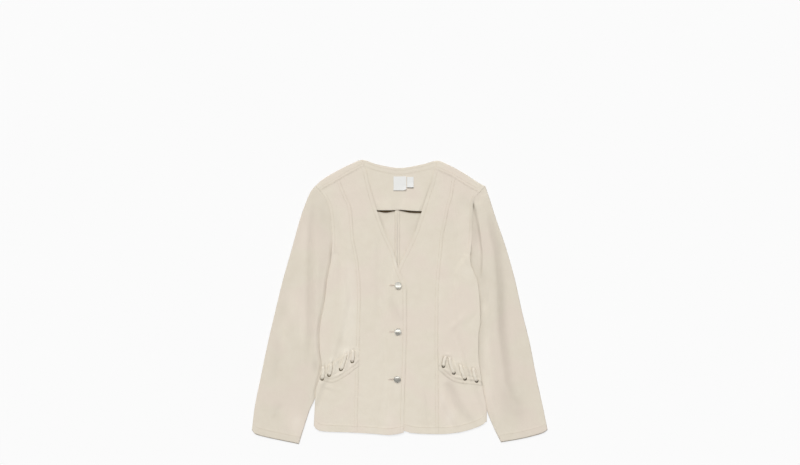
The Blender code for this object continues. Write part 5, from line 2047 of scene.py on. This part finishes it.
@dataclass
class Stitcher:
    """Lays the rows of topstitching on the finished panels."""

    bodies: dict[Side, Body]
    fronts: dict[Side, CentreFront]

    def front(self, side: Side) -> list[Row]:
        """Return the rows on one half of the fronts."""
        body, centre = self.bodies[side], self.fronts[side].top
        upper, lower = SideFront(body, True).top, SideFront(body, False).top
        right = side is Side.RIGHT
        rows = [Row(FRONT_EDGE, EDGE.rows[0], -300.0 if right else 66.0, 306.0, centre, False)]
        for away in FELL.rows:
            if right:
                rows.append(Row(PRINCESS_SEAM, away, -294.0, -158.0, lower, False))
                rows.append(Row(PRINCESS_SEAM, away, -108.0, 280.0, upper, False))
            else:
                rows.append(Row(PRINCESS_SEAM, -away, -296.0, 288.0, centre, False))
        edge, inner, outer, top = (-8.0, 97.0, 102.0, 256.0) if right else (8.0, 90.0, 94.0, 250.0)
        return [
            *rows,
            Row(HEM_LINE, HEM.rows[0], edge, inner, centre),
            Row(HEM_LINE, HEM.rows[0], outer, 197.0, lower),
            Row(SIDE_LINE, -ARMHOLE.rows[0], 122.0, top, upper, False),
        ]

    def rows(self, side: Side) -> dict[str, list[Row]]:
        """Return the rows on one half of the jacket, by the part that they are on."""
        body = self.bodies[side]
        band, sleeve, strip = PocketBand(body).top, Sleeve(body), Shoulder(body).level
        cuff = HEM.rows[0] + sleeve.cuff_gap
        return {
            "front": self.front(side),
            "pocket": [Row(POCKET_LINE, away, 100.0, 183.0, band) for away in POCKET_EDGE.rows],
            "cuff": [Row(CUFF_LINE, cuff, 243.0, 338.0, sleeve.top)],
            "shoulder": [Row(SHOULDER_SEAM, away + 1.0, 88.0, 183.0, strip) for away in STRIP.rows],
        }

    def neck(self, finishes: Wardrobe) -> None:
        """Stitch the facing round the neck, and the centre-back allowance."""
        work, facing = Topstitching("topstitching_neck"), Facing()
        for away in NECK.rows:
            x = np.linspace(-76.0, 77.0, 160)
            height = facing.neck(x) - WALL - away
            work.run(x, height, facing.top(x, height) + NECK.relief(np.full(x.shape, away), x))
        height = np.linspace(98.0, 212.0, 100)
        for side, middle in zip(Side, (-10.2, -1.8)):
            x = np.full(height.shape, middle)
            work.run(x, height, Back(self.bodies[side]).top(side.sign * x, height))
        work.build(finishes)

    def build(self, finishes: Wardrobe) -> None:
        """Make every row."""
        for side in Side:
            for part, rows in self.rows(side).items():
                work = Topstitching(f"topstitching_{part}_{side.word}")
                for row in rows:
                    row.lay(work, side)
                work.build(finishes)
        self.neck(finishes)


@dataclass
class Studio:
    """The floor, the lights and the camera, in metres."""

    middle: tuple[float, float] = (0.0006, 0.1633)
    height: float = 6.0
    view: float = 1.88
    world: float = 0.38
    key: float = 2.2
    key_angle: float = 30.0
    key_from: tuple[float, float, float] = (-0.10, 0.45, 0.88)
    mirror: tuple[tuple[float, float], ...] = (
        (0.0, 0.34), (0.42, 0.42), (0.48, 1.55), (0.62, 1.55), (0.69, 0.85), (1.0, 0.75),
    )
    floor_half: float = 6.0
    floor_level: float = -0.0002

    def camera(self) -> None:
        """Look straight down, with the neck at the top of the view."""
        lens = bpy.data.cameras.new("camera")
        lens.lens = lens.sensor_width * self.height / self.view
        lens.clip_end = 50.0
        item = show("camera", lens)
        item.location = (*self.middle, self.height)
        bpy.context.scene.camera = item

    def lights(self) -> None:
        """Light it softly from beyond the neck, a little from the wearer's right."""
        sun = bpy.data.lights.new("key", "SUN")
        sun.energy = self.key
        sun.angle = math.radians(self.key_angle)
        item = show("key", sun)
        item.rotation_euler = Vector(self.key_from).to_track_quat("Z", "Y").to_euler()
        item.visible_glossy = False

    def backdrop(self) -> None:
        """Fill the scene with plain light, and give the metal something to mirror.

        The camera sees white. What the metal mirrors runs through greys from one end of the
        jacket to the other.
        """
        world = bpy.data.worlds.new("studio")
        bpy.context.scene.world = world
        graph = Graph(world)
        plain = graph.node("ShaderNodeBackground", {}, {"Color": WHITE, "Strength": self.world})
        around = graph.part(graph.node("ShaderNodeTexCoord", {}, {}, "Generated"), 1)
        share = around.above(-1.0, 1.0)
        greys = graph.node("ShaderNodeValToRGB", {"stops": self.mirror}, {0: share})
        mirrored = graph.node("ShaderNodeBackground", {}, {"Color": greys})
        seen = graph.node("ShaderNodeBackground", {}, {"Color": WHITE})
        lit = graph.mix(graph.ray("Glossy"), plain, mirrored)
        graph.last("World Output", graph.mix(graph.ray("Camera"), lit, seen))

    def floor(self) -> None:
        """Lay a plain pale floor under the jacket."""
        half, level = self.floor_half / MM, self.floor_level / MM
        x, y = np.meshgrid((-half, 0.0, half), (-half, 0.0, half))
        points = np.stack((x, y, np.full(x.shape, level)), axis=-1)
        faces = [(0, 1, 4, 3), (1, 2, 5, 4), (3, 4, 7, 6), (4, 5, 8, 7)]
        mesh = smooth_mesh("floor", points, faces)
        mesh.materials.append(FloorFinish().build())
        show("floor", mesh)

    def build(self) -> None:
        """Make the whole studio."""
        bpy.context.scene.view_settings.view_transform = "Standard"
        self.camera()
        self.lights()
        self.backdrop()
        self.floor()


def main() -> None:
    """Build the jacket piece by piece."""
    logging.basicConfig(level=logging.INFO)
    Studio().build()
    finishes = Wardrobe()
    bodies = {side: Body(side) for side in Side}
    fronts = {side: CentreFront(body) for side, body in bodies.items()}
    for side, body in bodies.items():
        panels = (
            Back(body), Sleeve(body), fronts[side], SideFront(body, True), SideFront(body, False),
            Shoulder(body), PocketBand(body), Laces(body),
        )
        for panel in panels:
            panel.build(finishes)
        LOG.info("%s half made", side.word)
    Facing().build(finishes)
    for label in LABELS:
        label.build(finishes)
    Buttons().build(finishes)
    Buttonholes().build(finishes, fronts[Side.RIGHT])
    Stitcher(bodies, fronts).build(finishes)


if __name__ == "__main__":
    main()
